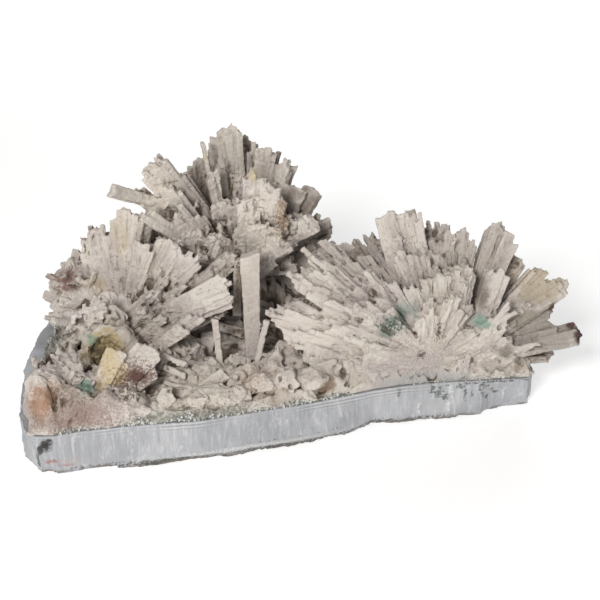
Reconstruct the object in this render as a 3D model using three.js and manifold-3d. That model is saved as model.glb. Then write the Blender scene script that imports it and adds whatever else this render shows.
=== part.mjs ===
// Quartz pseudomorph specimen: quartz that took the place of bladed crystals, in three sprays on a white crust,
// grown on a sawn slab of banded chalcedony. Millimetres, +Z up. The flat underside of the slab lies in z = 0,
// the sawn front face looks along -Y, and the origin is the middle of the underside.

import * as THREE from "three";
import { mergeVertices } from "three/addons/utils/BufferGeometryUtils.js";
import Module from "manifold-3d";

const wasm = await Module();
wasm.setup();

// ---------------------------------------------------------------- driving dimensions

const SLAB_LEFT_X = -178;
const SLAB_RIGHT_X = 151;
const SLAB_THICKNESS_LEFT = 27;
const SLAB_THICKNESS_RIGHT = 23.5;
const SLAB_CHIP_HEIGHT = 4; // height of the chipped edge around the underside
const SLAB_STATION = 12; // spacing of the points along the slab's edge
const GROWTH_GAP = 0.3; // clearance between the slab and the crust, which are two solids here

const CRUST_CELL = 13; // size of the crust's facets
const CRUST_SKIN = 5; // least height of the crust over the slab
const CRUST_STEEPNESS = 2.6; // how fast the crust may rise from its edge
const LATH_WIDTH = 9.6; // a blade is a row of laths about this wide
const FOOT_SHARE = 0.55; // a blade's foot is this much narrower than its end
const LATH_OVERLAP = 0.8; // neighbouring laths run into each other by this much
const RAGGEDNESS = 0.22; // how much shorter the side laths of a blade may end, as a share of its length

// The sawn front, from left to right: x, y of the top edge, y of the underside's edge.
const SAWN_FRONT = [
  [-146, -108, -107], [-130, -102, -104], [-97, -95, -100], [-60, -89, -94], [-31, -80, -86],
  [0, -70, -78], [25, -60, -69], [47, -51, -52], [63, -46, -52], [82, -42, -47],
  [115, -38, -41], [129, -36, -33], [146, -34, -26],
];

// The broken outline behind the sawn front, from its right end around the back to its left end.
const BROKEN_SIDES = [
  [SLAB_RIGHT_X, -18], [146, 10], [126, 42], [92, 66], [40, 82], [-20, 95], [-80, 99],
  [-135, 83], [-168, 52], [SLAB_LEFT_X, -5], [-176, -45], [-169, -84], [-159, -105],
];

// The crust ends a little inside that outline and leaves a bare rim of chalcedony at the left.
const CRUST_SIDES = [
  [147, -18], [141, 8], [122, 37], [90, 60], [38, 76], [-20, 89], [-80, 93],
  [-132, 78], [-162, 50], [-169, 24], [-165, -4], [-166, -40], [-161, -80], [-152, -101],
];

// ---------------------------------------------------------------- the crust's relief

// Mounds of the crust: x, y, radius, height over the slab.
const MOUNDS = [
  // the left shoulder and the knobs on it
  [-158, 24, 20, 38], [-149, 34, 22, 45], [-135, 4, 24, 22], [-152, -24, 18, 15],
  [-130, -46, 22, 15], [-150, -72, 20, 9], [-108, -78, 20, 8],
  // under the front left spray
  [-114, 2, 34, 33], [-84, -34, 30, 14],
  // under the back spray and the ridge that joins it to the right one
  [-38, 52, 36, 44], [-88, 44, 34, 30], [-10, 62, 36, 30], [30, 38, 34, 38],
  // low lumps along the front, between the sprays
  [-62, -64, 14, 7], [-40, -58, 15, 9], [-18, -50, 18, 10], [4, -44, 20, 7],
  // under the right spray
  [90, -22, 46, 26], [40, -14, 36, 24], [100, 16, 40, 20], [128, -22, 22, 10],
];

// ---------------------------------------------------------------- the sprays' crystals

// Each crystal: tip, foot, width, thickness, turn about its own length in degrees (0 shows the broad face in front).
const BACK_SPRAY = [
  // the crown: tall plates with the broadest in the middle
  [[-47, 40, 165], [-40, 50, 80], 16, 6, 8],
  [[-33, 62, 151], [-36, 58, 78], 12, 6, -20],
  [[-30, 50, 150], [-35, 52, 84], 7, 6, 15],
  [[-22, 45, 150], [-31, 50, 80], 10, 6, -10],
  [[-8, 42, 142], [-25, 48, 78], 12, 6, -15],
  [[-15, 34, 143], [-25, 42, 82], 7, 5, 20],
  [[-24, 12, 144], [-33, 30, 74], 25, 7, 5],
  [[-9, 18, 122], [-28, 32, 76], 13, 6, -35],
  // needles and thin plates at the left of the crown
  [[-62, 20, 163], [-49, 32, 96], 4, 4, 10],
  [[-59, 24, 154], [-50, 34, 96], 4, 4, 30],
  [[-66, 52, 139], [-46, 54, 78], 19, 6, 5],
  [[-54, 38, 140], [-46, 44, 90], 7, 5, 0],
  [[-57, 22, 122], [-46, 32, 92], 7, 5, 0],
  // the bundle that leans out to the left
  [[-87, 12, 152], [-46, 36, 84], 10, 7, 0],
  [[-95, 8, 155], [-51, 34, 84], 10, 7, 10],
  [[-92, 4, 141], [-55, 30, 84], 9, 7, -5],
  [[-81, 0, 128], [-54, 26, 82], 9, 7, 10],
  [[-118, -4, 139], [-62, 24, 90], 8, 8, 0],
  [[-104, 14, 133], [-58, 36, 84], 9, 6, 20],
  [[-94, 6, 131], [-56, 28, 82], 14, 7, 0],
  [[-95, -6, 125], [-60, 20, 84], 8, 8, 0],
  // broad pointed blades and stubs at the right
  [[2, 40, 128], [-25, 46, 74], 15, 6, -5],
  [[12, 46, 113], [-23, 48, 70], 16, 6, -10],
  [[10, 26, 99], [-21, 38, 74], 10, 8, 0],
  [[21, 50, 92], [-20, 50, 66], 11, 7, -20],
  [[22, 44, 84], [-19, 46, 62], 13, 7, 10],
  [[-3, 18, 80], [-25, 36, 66], 11, 8, 0],
  // knobs in front of the heart
  [[-8, 8, 102], [-32, 28, 76], 15, 10, 0],
  [[-56, 4, 103], [-39, 30, 74], 15, 10, 10],
  [[-74, 8, 104], [-44, 34, 72], 11, 8, 0],
  [[-66, 0, 92], [-44, 30, 68], 10, 9, 20],
];

const FRONT_LEFT_SPRAY = [
  // the upright pair and its neighbours
  [[-110, 2, 127], [-119, 10, 52], 8, 6, 0],
  [[-103, -2, 125], [-116, 6, 52], 8, 6, -10],
  [[-96, 2, 121], [-109, 8, 56], 8, 6, -55],
  [[-129, 8, 112], [-129, 14, 54], 11, 7, 10],
  [[-121, 4, 110], [-125, 10, 54], 7, 5, 0],
  [[-137, 16, 97], [-133, 18, 50], 10, 8, 0],
  // plates that open like a fan to the right
  [[-96, -12, 109], [-112, 0, 52], 9, 6, 0],
  [[-81, -10, 110], [-107, -2, 48], 12, 6, 0],
  [[-74, -6, 107], [-100, 0, 52], 7, 5, -40],
  [[-63, -14, 102], [-103, -4, 46], 13, 6, 0],
  [[-54, -14, 89], [-98, -6, 48], 10, 6, 0],
  [[-41, -34, 86], [-110, -16, 43], 19, 6, 0],
  [[-82, -16, 76], [-113, -8, 52], 12, 8, 0],
  [[-46, -22, 70], [-92, -14, 40], 11, 6, 0],
  [[-61, -36, 71], [-98, -26, 38], 9, 6, 0],
  [[-70, -44, 67], [-100, -34, 38], 9, 7, 0],
  // the knobby blade between this spray and the back one
  [[-40, -8, 97], [-80, 2, 58], 11, 9, 10],
  // the low plates over the front edge
  [[-87, -62, 60], [-124, -56, 30], 18, 9, 0],
  [[-109, -62, 58], [-126, -66, 28], 9, 7, 0],
  [[-86, -68, 51], [-121, -74, 27], 12, 8, 0],
  [[-124, -50, 56], [-134, -60, 28], 11, 7, 20],
];

const RIGHT_SPRAY = [
  // the back row: tall plates, from left to right
  [[54, 6, 121], [86, -22, 42], 17, 7, 0],
  [[68, 14, 115], [88, -16, 42], 10, 6, -50],
  [[42, 18, 101], [82, -14, 42], 10, 5, 5],
  [[73, 2, 122], [89, -22, 44], 5, 5, 0],
  [[84, 16, 110], [92, -14, 44], 9, 6, 10],
  [[91, 12, 110], [93, -16, 44], 8, 6, -15],
  [[93, 2, 110], [93, -22, 46], 7, 5, 0],
  [[102, 6, 110], [95, -20, 46], 9, 6, 10],
  [[109, 4, 103], [98, -20, 46], 7, 5, 20],
  [[126, 4, 114], [101, -22, 44], 10, 7, 0],
  [[133, 0, 109], [103, -24, 44], 9, 7, 10],
  // the front row above the saw cut
  [[94, -22, 97], [92, -34, 42], 22, 8, 0],
  [[123, -26, 95], [102, -34, 44], 16, 7, 0],
  [[50, -24, 86], [84, -36, 42], 13, 8, 0],
  [[31, -30, 78], [81, -38, 42], 14, 8, 0],
  [[19, -36, 68], [78, -40, 38], 13, 8, 0],
  [[60, -8, 101], [86, -28, 44], 8, 6, 0],
  [[71, -12, 101], [88, -30, 44], 8, 6, 10],
  [[82, -14, 101], [91, -30, 44], 8, 6, 0],
  // blades that point to the right
  [[140, 6, 88], [104, -24, 42], 13, 6, 0],
  [[158, -12, 88], [105, -30, 40], 10, 8, 0],
  [[167, -12, 81], [105, -30, 38], 10, 8, 0],
  [[151, -8, 86], [105, -28, 40], 12, 7, 0],
  [[167, 2, 56], [108, -24, 34], 8, 8, 0],
  [[160, -14, 58], [105, -32, 36], 11, 8, 0],
  [[178, -18, 51], [106, -32, 35], 9, 9, 0],
  [[175, -20, 43], [106, -32, 33], 10, 8, 0],
  [[153, -26, 44], [107, -34, 36], 8, 8, 0],
  [[162, -16, 32], [110, -30, 32], 10, 9, 0],
  [[155, -22, 28], [110, -32, 30], 9, 8, 0],
  [[132, -20, 71], [107, -30, 42], 7, 6, 0],
  [[129, -26, 61], [104, -34, 40], 8, 7, 0],
  [[118, -36, 56], [96, -38, 34], 18, 7, 0],
  // blades that point to the left
  [[0, -6, 100], [69, -28, 44], 6, 6, 0],
  [[8, -10, 99], [72, -30, 44], 6, 6, 0],
  [[11, 8, 100], [71, -20, 44], 11, 7, 0],
  [[32, 22, 92], [77, -10, 42], 16, 7, 0],
  [[30, -2, 89], [76, -26, 42], 11, 7, 0],
  [[42, 4, 91], [80, -22, 42], 10, 7, 10],
  [[-7, -18, 90], [63, -32, 42], 11, 9, 0],
  [[4, -10, 83], [66, -30, 40], 9, 8, 0],
  [[5, -24, 81], [69, -34, 40], 10, 7, 0],
  [[-21, -30, 69], [59, -38, 38], 15, 8, 0],
  [[-9, -36, 58], [62, -40, 34], 14, 9, 0],
];

// Columns and rods that stand by themselves in the hollow between the sprays and along the front.
const COLUMNS = [
  [[-30, -8, 100], [-31, 2, 22], 12, 11, 0],
  [[-39, 14, 46], [-39, 24, 88], 6, 7, 0],
  [[-54, -22, 60], [-50, -24, 22], 5, 5, 0],
  [[-35, 8, 34], [-70, 12, 42], 6, 6, 0],
  [[-20, -22, 58], [-31, -22, 26], 5, 5, 0],
  [[-59, -14, 44], [-62, -18, 22], 10, 6, 0],
  [[-36, -34, 40], [-40, -36, 22], 7, 7, 0],
  [[-79, -70, 43], [-90, -76, 22], 7, 7, 0],
  [[-67, -68, 33], [-82, -64, 36], 6, 6, 0],
  [[-69, -58, 37], [-88, -50, 38], 6, 6, 0],
  [[-69, -46, 39], [-90, -40, 38], 6, 6, 0],
];

// Crystals that fill a spray between its main blades and round its back: heart of the spray, how many, the
// headings that they cover (0 = +X, 90 = +Y), the least and the greatest rise in degrees, the least and the
// greatest reach, and the seed.
const FILLS = [
  { heart: [-38, 46, 60], count: 14, heading: [20, 190], rise: [12, 66], reach: [58, 78], seed: 11 },
  { heart: [-114, 6, 38], count: 8, heading: [60, 210], rise: [18, 66], reach: [42, 58], seed: 13 },
  { heart: [92, -20, 34], count: 14, heading: [8, 172], rise: [10, 60], reach: [62, 82], seed: 15 },
  { heart: [26, 42, 40], count: 7, heading: [20, 170], rise: [20, 60], reach: [36, 46], seed: 17 },
  { heart: [-96, 60, 28], count: 7, heading: [50, 190], rise: [15, 60], reach: [34, 46], seed: 18 },
];

// Dense bodies that the blades of each spray grow out of: middle, half sizes, seed.
const CORES = [
  { middle: [-38, 48, 84], half: [33, 24, 34], seed: 21 },
  { middle: [-62, 30, 88], half: [20, 18, 20], seed: 22 },
  { middle: [-114, 4, 64], half: [22, 16, 24], seed: 23 },
  { middle: [92, -14, 50], half: [50, 24, 36], seed: 24 },
  { middle: [40, -18, 46], half: [42, 18, 22], seed: 25 },
  { middle: [28, 38, 58], half: [28, 20, 24], seed: 26 },
];

// Rough lumps on the crust: x, y, how far the middle lies over the slab, radius.
const LUMPS = [
  [-154, 28, 39, 9], [-160, 12, 24, 8], [-140, 22, 38, 9], [-128, -6, 26, 9], [-146, -4, 20, 8],
  [-156, -46, 10, 8], [-144, -64, 12, 9], [-152, -86, 6, 7], [-118, -86, 7, 7],
  [-60, -70, 6, 7], [-24, -60, 8, 7], [6, -48, 8, 7], [-70, -20, 12, 8], [36, -44, 6, 7], [132, -22, 8, 8], [-14, 80, 12, 9], [-60, 84, 10, 9],
  [-104, 80, 10, 9], [-140, 62, 16, 9], [66, 58, 10, 8], [100, 44, 10, 8],
];

// Broken laths that lie on the crust along the front: how many, between which x, how far behind the front edge.
const CHIPS = { count: 14, from: -146, to: 66, behind: [6, 34], length: [12, 20], width: 7, thickness: 5, seed: 31 };

// ---------------------------------------------------------------- colours

const CHALCEDONY = new THREE.MeshStandardMaterial({ color: 0xb4b9c1, roughness: 0.42, metalness: 0 });
const SUGARY_QUARTZ = new THREE.MeshStandardMaterial({ color: 0xd8cdc4, roughness: 0.85, metalness: 0 });

// ---------------------------------------------------------------- helpers

/** Repeatable random numbers from 0 to 1. */
function dice(seed) {
  let state = seed * 2654435761 >>> 0;
  return () => {
    state = (state + 0x6d2b79f5) >>> 0;
    let mixed = Math.imul(state ^ (state >>> 15), 1 | state);
    mixed = (mixed + Math.imul(mixed ^ (mixed >>> 7), 61 | mixed)) ^ mixed;
    return ((mixed ^ (mixed >>> 14)) >>> 0) / 4294967296;
  };
}

/** A closed geometry as a solid that can be joined and cut. */
function solid(geometry) {
  const bare = geometry.clone();
  bare.deleteAttribute("normal");
  bare.deleteAttribute("uv");
  const merged = mergeVertices(bare, 1e-4);
  return new wasm.Manifold(new wasm.Mesh({
    numProp: 3,
    vertProperties: new Float32Array(merged.attributes.position.array),
    triVerts: new Uint32Array(merged.index.array),
  }));
}

/** All solids joined into one, pair by pair. */
function join(solids) {
  let row = solids;
  while (row.length > 1) {
    const next = [];
    for (let i = 0; i < row.length; i += 2) {
      next.push(i + 1 < row.length ? row[i].add(row[i + 1]) : row[i]);
    }
    row = next;
  }
  return row[0];
}

/** Height of the slab's top face over the underside at x: it thins evenly from left to right. */
function slabTop(x) {
  const share = (x - SLAB_LEFT_X) / (SLAB_RIGHT_X - SLAB_LEFT_X);
  return SLAB_THICKNESS_LEFT + share * (SLAB_THICKNESS_RIGHT - SLAB_THICKNESS_LEFT);
}

/** Points about `step` apart along a closed outline; each point may carry more than two values. */
function stations(outline, step) {
  const points = [];
  outline.forEach((from, i) => {
    const to = outline[(i + 1) % outline.length];
    const parts = Math.max(1, Math.round(Math.hypot(to[0] - from[0], to[1] - from[1]) / step));
    for (let k = 0; k < parts; k += 1) {
      points.push(from.map((value, axis) => value + (to[axis] - value) * k / parts));
    }
  });
  return points;
}

/** A closed body through rings of equal point count, lowest ring first, with flat ends. */
function skin(rings) {
  const count = rings[0].length;
  const positions = rings.flat(2);
  const faces = [];
  for (let r = 0; r + 1 < rings.length; r += 1) {
    for (let i = 0; i < count; i += 1) {
      const a = r * count + i;
      const b = r * count + (i + 1) % count;
      faces.push(a, b, b + count, a, b + count, a + count);
    }
  }
  const lastRing = (rings.length - 1) * count;
  const flat = (ring) => ring.map(([x, y]) => new THREE.Vector2(x, y));
  THREE.ShapeUtils.triangulateShape(flat(rings[0]), []).forEach(([a, b, c]) => faces.push(a, c, b));
  THREE.ShapeUtils.triangulateShape(flat(rings[rings.length - 1]), []).forEach(([a, b, c]) => {
    faces.push(lastRing + a, lastRing + b, lastRing + c);
  });
  const geometry = new THREE.BufferGeometry();
  geometry.setAttribute("position", new THREE.Float32BufferAttribute(positions, 3));
  geometry.setIndex(faces);
  return geometry;
}

/** An upright prism over an outline of [x, y] points. */
function prism(outline, low, high) {
  const shape = new THREE.Shape(outline.map(([x, y]) => new THREE.Vector2(x, y)));
  return new THREE.ExtrudeGeometry(shape, { depth: high - low, bevelEnabled: false }).translate(0, 0, low);
}

/** Distance from a point to the nearest side of a closed outline. */
function distanceToEdge(outline, x, y) {
  const point = new THREE.Vector3(x, y, 0);
  const nearest = new THREE.Vector3();
  return Math.min(...outline.map((from, i) => {
    const to = outline[(i + 1) % outline.length];
    const side = new THREE.Line3(new THREE.Vector3(from[0], from[1], 0), new THREE.Vector3(to[0], to[1], 0));
    return side.closestPointToPoint(point, true, nearest).distanceTo(point);
  }));
}

// ---------------------------------------------------------------- the slab

/** The slab: sawn front, broken sides, a chipped edge around the flat underside. */
function slabGeometry() {
  const roll = dice(3);
  const outline = [...SAWN_FRONT, ...BROKEN_SIDES.map(([x, y]) => [x, y, y])];
  const edge = stations(outline, SLAB_STATION);
  const roughness = edge.map(([x, y]) => (y < -34 && x > -147 ? 0.5 : 2));
  const ring = (share, inset, height) => edge.map(([x, topY, lowY], i) => {
    const y = topY + (lowY - topY) * share;
    const shrink = 1 - (inset + roughness[i] * roll()) / Math.hypot(x, y);
    return [x * shrink, y * shrink, height(x)];
  });
  return skin([
    ring(1, 2.5, () => 0),
    ring(1, 0, () => SLAB_CHIP_HEIGHT),
    ring(0.5, 0.4, (x) => slabTop(x) * 0.6),
    ring(0, 0, (x) => slabTop(x)),
  ]);
}

/** The small dark pocket in the slab's front left corner. */
function pocket() {
  return solid(new THREE.IcosahedronGeometry(6, 0).scale(0.9, 0.8, 1.2).rotateX(0.4).translate(-152, -108, 15));
}

// ---------------------------------------------------------------- the crust

/** Height of the crust over the slab: the highest mound there, lower toward the outline. */
function crustHeight(outline, x, y, grain) {
  const mound = Math.max(...MOUNDS.map(([mx, my, radius, height]) => {
    const far = Math.hypot(x - mx, y - my) / radius;
    return height * Math.exp(-far * far * 0.9);
  }));
  const slope = 3 + distanceToEdge(outline, x, y) * CRUST_STEEPNESS;
  return Math.min(CRUST_SKIN + mound, slope) * (0.8 + 0.4 * grain) + 3 * (grain - 0.5);
}

/** The crust: a faceted relief over the slab, trimmed to its own outline. */
function crust() {
  const roll = dice(5);
  const outline = [...SAWN_FRONT.map(([x, y]) => [x, y + 0.8]), ...CRUST_SIDES];
  const [width, depth] = [350, 220];
  const cells = [Math.round(width / CRUST_CELL), Math.round(depth / CRUST_CELL)];
  const block = new THREE.BoxGeometry(width, depth, 40, cells[0], cells[1], 1).translate(-8, -5, 0);
  const relief = mergeVertices(block.deleteAttribute("normal").deleteAttribute("uv"), 1e-4);
  const position = relief.attributes.position;
  for (let i = 0; i < position.count; i += 1) {
    if (position.getZ(i) > 0) {
      const x = position.getX(i) + (roll() - 0.5) * CRUST_CELL * 0.7;
      const y = position.getY(i) + (roll() - 0.5) * CRUST_CELL * 0.7;
      position.setXYZ(i, x, y, slabTop(x) + crustHeight(outline, x, y, roll()));
    }
  }
  return solid(relief).intersect(solid(prism(outline, 5, 150)));
}

/** A rough lump: a jagged ball, a little flattened. */
function lump([x, y, rise, radius], roll) {
  const ball = new THREE.IcosahedronGeometry(radius, 0);
  ball.scale(0.85 + 0.4 * roll(), 0.8 + 0.3 * roll(), 0.65 + 0.3 * roll());
  ball.rotateX(roll() * 3).rotateY(roll() * 3).rotateZ(roll() * 3);
  return solid(ball.translate(x, y, slabTop(x) + rise));
}

/** The dense body of a spray: a ball with an uneven faceted surface. */
function core({ middle, half, seed }) {
  const roll = dice(seed);
  const ball = new THREE.IcosahedronGeometry(1, 1);
  const position = mergeVertices(ball.deleteAttribute("normal").deleteAttribute("uv"), 1e-4);
  const at = position.attributes.position;
  for (let i = 0; i < at.count; i += 1) {
    const swell = 0.72 + 0.4 * roll();
    at.setXYZ(i, ...half.map((size, axis) => middle[axis] + at.getComponent(i, axis) * size * swell));
  }
  return solid(position);
}

// ---------------------------------------------------------------- the crystals

/** A lath: a flat bar from foot to tip that opens toward its end and ends in a slanting face. */
function lath(foot, tip, across, width, thickness, roll) {
  const along = tip.clone().sub(foot);
  const length = along.length();
  const bar = new THREE.BoxGeometry(width, length, thickness).translate(0, length / 2, 0);
  const position = bar.attributes.position;
  const slant = width * (roll() - 0.5) * 1.2;
  const lean = thickness * (roll() - 0.5) * 0.8;
  const tipThickness = 0.6 + 0.3 * roll();
  for (let i = 0; i < position.count; i += 1) {
    if (position.getY(i) > length / 2) {
      const [sideX, sideZ] = [Math.sign(position.getX(i)), Math.sign(position.getZ(i))];
      const end = length - Math.abs(slant) / 2 + (sideX * slant + sideZ * lean) / 2;
      position.setXYZ(i, position.getX(i), end, position.getZ(i) * tipThickness);
    } else {
      position.setX(i, position.getX(i) * FOOT_SHARE);
    }
  }
  const yAxis = along.normalize();
  const zAxis = across.clone().cross(yAxis).normalize();
  const xAxis = yAxis.clone().cross(zAxis);
  bar.applyMatrix4(new THREE.Matrix4().makeBasis(xAxis, yAxis, zAxis).setPosition(foot));
  return solid(bar);
}

/** A blade: laths side by side across its width, each with its own length, so that its end is ragged. */
function blade([tipAt, footAt, width, thickness, turn], roll) {
  const tip = new THREE.Vector3(...tipAt);
  const foot = new THREE.Vector3(...footAt);
  const along = tip.clone().sub(foot).normalize();
  const front = new THREE.Vector3(0, -0.9, 0.44);
  const across = along.clone().cross(front).normalize().applyAxisAngle(along, turn * Math.PI / 180);
  const count = Math.min(3, Math.max(1, Math.round(width / LATH_WIDTH)));
  const leader = Math.floor(roll() * count);
  const laths = [];
  for (let k = 0; k < count; k += 1) {
    const shift = (k - (count - 1) / 2) * width / count;
    const back = (k === leader ? 0 : RAGGEDNESS * (0.25 + roll())) * tip.distanceTo(foot);
    const end = tip.clone().addScaledVector(along, -back).addScaledVector(across, shift);
    const start = foot.clone().addScaledVector(across, shift * FOOT_SHARE);
    const own = thickness * (0.85 + 0.3 * roll());
    laths.push(lath(start, end, across, width / count + LATH_OVERLAP, own, roll));
  }
  return join(laths);
}

/** The seeded crystals of one fill, as blades from the heart of a spray. */
function fill({ heart, count, heading, rise, reach, seed }) {
  const roll = dice(seed);
  const between = ([low, high]) => low + (high - low) * roll();
  return Array.from({ length: count }, (_, i) => {
    const way = (heading[0] + (heading[1] - heading[0]) * (i + roll()) / count) * Math.PI / 180;
    const climb = between(rise) * Math.PI / 180;
    const far = between(reach);
    const way3 = [Math.cos(way) * Math.cos(climb), Math.sin(way) * Math.cos(climb), Math.sin(climb)];
    const at = (distance) => heart.map((value, axis) => value + way3[axis] * distance);
    return blade([at(far), at(12), 9 + 4 * roll(), 6 + 3 * roll(), (roll() - 0.5) * 90], roll);
  });
}

/** Short laths strewn over the crust behind the sawn front, each leaning its own way. */
function chips() {
  const roll = dice(CHIPS.seed);
  const between = ([low, high]) => low + (high - low) * roll();
  return Array.from({ length: CHIPS.count }, (_, i) => {
    const x = CHIPS.from + (CHIPS.to - CHIPS.from) * (i + roll()) / CHIPS.count;
    const next = SAWN_FRONT.findIndex(([stationX]) => stationX > x);
    const y = Math.max(SAWN_FRONT[next - 1][1], SAWN_FRONT[next][1]) + between(CHIPS.behind);
    const way = Math.PI * (1 + roll());
    const far = between(CHIPS.length);
    const foot = [x, y, slabTop(x) + 3];
    const tip = [x + Math.cos(way) * far * 0.7, y + Math.sin(way) * far * 0.4, foot[2] + far * (0.5 + 0.3 * roll())];
    return blade([tip, foot, CHIPS.width, CHIPS.thickness, 60 * (roll() - 0.5)], roll);
  });
}

/** The outer skin of a solid, without the closed pockets that crystals shut in between them. */
function outerSkin(body) {
  const mesh = body.getMesh();
  const { vertProperties: at, triVerts: corners } = mesh;
  const owner = Array.from({ length: at.length / 3 }, (_, i) => i);
  const find = (i) => {
    let top = i;
    while (owner[top] !== top) {
      owner[top] = owner[owner[top]];
      top = owner[top];
    }
    return top;
  };
  for (let i = 0; i < corners.length; i += 3) {
    owner[find(corners[i])] = find(corners[i + 1]);
    owner[find(corners[i + 1])] = find(corners[i + 2]);
  }
  const size = new Map();
  for (let i = 0; i < corners.length; i += 3) {
    size.set(find(corners[i]), (size.get(find(corners[i])) ?? 0) + 1);
  }
  const outer = [...size.entries()].sort((a, b) => b[1] - a[1])[0][0];
  const kept = [];
  for (let i = 0; i < corners.length; i += 3) {
    if (find(corners[i]) === outer) {
      kept.push(corners[i], corners[i + 1], corners[i + 2]);
    }
  }
  const geometry = new THREE.BufferGeometry();
  geometry.setAttribute("position", new THREE.Float32BufferAttribute(at, 3));
  geometry.setIndex(kept);
  return geometry;
}

/** Everything of quartz, joined, sawn flush with the slab's front and lifted clear of its top. */
function crystalGeometry() {
  const roll = dice(7);
  const pieces = [crust()];
  [...BACK_SPRAY, ...FRONT_LEFT_SPRAY, ...RIGHT_SPRAY, ...COLUMNS].forEach((entry) => pieces.push(blade(entry, roll)));
  FILLS.forEach((entry) => pieces.push(...fill(entry)));
  CORES.forEach((entry) => pieces.push(core(entry)));
  LUMPS.forEach((entry) => pieces.push(lump(entry, roll)));
  pieces.push(...chips());
  const sawn = [...SAWN_FRONT.map(([x, y]) => [x, y + 0.8]), [220, -28], [220, 160], [-220, 160], [-220, -124]];
  const bed = new THREE.BoxGeometry(500, 400, 80).translate(0, 0, -40);
  const corners = bed.attributes.position;
  for (let i = 0; i < corners.count; i += 1) {
    if (corners.getZ(i) === 0) {
      corners.setZ(i, slabTop(corners.getX(i)) + GROWTH_GAP);
    }
  }
  return outerSkin(join(pieces).intersect(solid(prism(sawn, -10, 300))).subtract(solid(bed)));
}

// ---------------------------------------------------------------- the specimen

const slab = new THREE.Mesh(outerSkin(solid(slabGeometry()).subtract(pocket())), CHALCEDONY);
slab.name = "chalcedony_slab";

const crystals = new THREE.Mesh(crystalGeometry(), SUGARY_QUARTZ);
crystals.name = "crystals";

const specimen = new THREE.Group();
specimen.name = "quartz_specimen";
specimen.add(slab, crystals);

export default specimen;
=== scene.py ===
"""Looks of the quartz pseudomorph specimen: a sawn slab of banded chalcedony under a white crust that carries
three sprays of bladed quartz. Metres, +Z up, the sawn front towards -Y. Places are written in millimetres."""
import math

import bmesh
import bpy
import numpy as np
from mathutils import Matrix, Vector


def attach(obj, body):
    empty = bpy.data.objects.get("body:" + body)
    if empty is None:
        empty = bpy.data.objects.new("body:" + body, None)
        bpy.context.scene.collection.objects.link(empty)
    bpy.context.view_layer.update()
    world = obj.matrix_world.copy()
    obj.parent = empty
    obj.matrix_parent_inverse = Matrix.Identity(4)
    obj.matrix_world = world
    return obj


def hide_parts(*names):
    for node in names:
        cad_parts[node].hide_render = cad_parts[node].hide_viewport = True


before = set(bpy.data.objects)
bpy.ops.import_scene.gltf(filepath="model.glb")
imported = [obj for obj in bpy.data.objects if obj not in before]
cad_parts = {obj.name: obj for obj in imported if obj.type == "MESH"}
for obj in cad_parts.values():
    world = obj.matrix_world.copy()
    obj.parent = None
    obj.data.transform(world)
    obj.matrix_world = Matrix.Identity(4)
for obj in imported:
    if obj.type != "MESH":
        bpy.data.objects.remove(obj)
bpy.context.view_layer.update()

# ---------------------------------------------------------------- studio
# The camera looks down on the sawn front from 27 degrees, a little under a metre away. A soft light hangs
# high in front, left of the middle, weaker ones fill from low in front and from behind; the floor is pale.

CAMERA_DISTANCE = 0.911
CAMERA_RISE = math.radians(27)
AIM = Vector((0.0, 0.0, 0.062))

camera = bpy.data.objects.new("camera", bpy.data.cameras.new("camera"))
camera.data.lens = 85
camera.data.sensor_width = 36
camera.data.clip_start = 0.05
away = Vector((0.0, -math.cos(CAMERA_RISE), math.sin(CAMERA_RISE)))
camera.location = AIM + away * CAMERA_DISTANCE
camera.rotation_euler = (-away).to_track_quat("-Z", "Y").to_euler()
bpy.context.scene.collection.objects.link(camera)
bpy.context.scene.camera = camera


def area_light(name, place, size, power, tint):
    """A square soft light that faces the specimen."""
    light = bpy.data.lights.new(name, "AREA")
    light.size = size
    light.energy = power
    light.color = tint
    lamp = bpy.data.objects.new(name, light)
    lamp.location = place
    lamp.rotation_euler = (AIM - Vector(place)).to_track_quat("-Z", "Y").to_euler()
    bpy.context.scene.collection.objects.link(lamp)


area_light("key", (-0.42, -1.24, 0.92), 0.34, 16.4, (1.0, 0.985, 0.965))
area_light("front", (-0.10, -1.35, 0.40), 0.8, 2.4, (0.98, 0.98, 1.0))
area_light("back", (0.3, 1.35, 0.55), 0.9, 10.0, (1.0, 0.99, 0.97))

world = bpy.data.worlds.new("studio")
world.use_nodes = True
world.node_tree.nodes["Background"].inputs["Color"].default_value = (0.97, 0.98, 1.0, 1)
world.node_tree.nodes["Background"].inputs["Strength"].default_value = 0.19
bpy.context.scene.world = world
bpy.context.scene.view_settings.view_transform = "Standard"


def add_mesh(name, points, faces):
    """A mesh object at the origin; points in millimetres."""
    mesh = bpy.data.meshes.new(name)
    mesh.from_pydata((np.asarray(points) * 0.001).tolist(), [], faces)
    mesh.validate()
    made = bpy.data.objects.new(name, mesh)
    bpy.context.scene.collection.objects.link(made)
    return made


FLOOR_HALF = 4000
FLOOR_DROP = 0.2  # the floor lies this far under the stone, so that their faces don't coincide
floor_corners = [(x * FLOOR_HALF, y * FLOOR_HALF, -FLOOR_DROP)
                 for x, y in ((-1, -1), (1, -1), (1, 1), (-1, 1))]
floor = add_mesh("floor", floor_corners, [(0, 1, 2, 3)])
floor_paint = bpy.data.materials.new("floor_paper")
floor_paint.use_nodes = True
floor_shader = floor_paint.node_tree.nodes["Principled BSDF"]
floor_shader.inputs["Base Color"].default_value = (0.9, 0.9, 0.9, 1)
floor_shader.inputs["Roughness"].default_value = 0.9
floor_shader.inputs["Emission Color"].default_value = (1, 1, 1, 1)
floor_shader.inputs["Emission Strength"].default_value = 0.40
floor.data.materials.append(floor_paint)

# ---------------------------------------------------------------- chalcedony slab
# The base: grey-blue chalcedony, sawn off along the front and underneath, broken along the other sides. Thin
# pale bands run under its top, fibres cross it, and its lower edge is chipped. The crust grew on its top.

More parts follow.
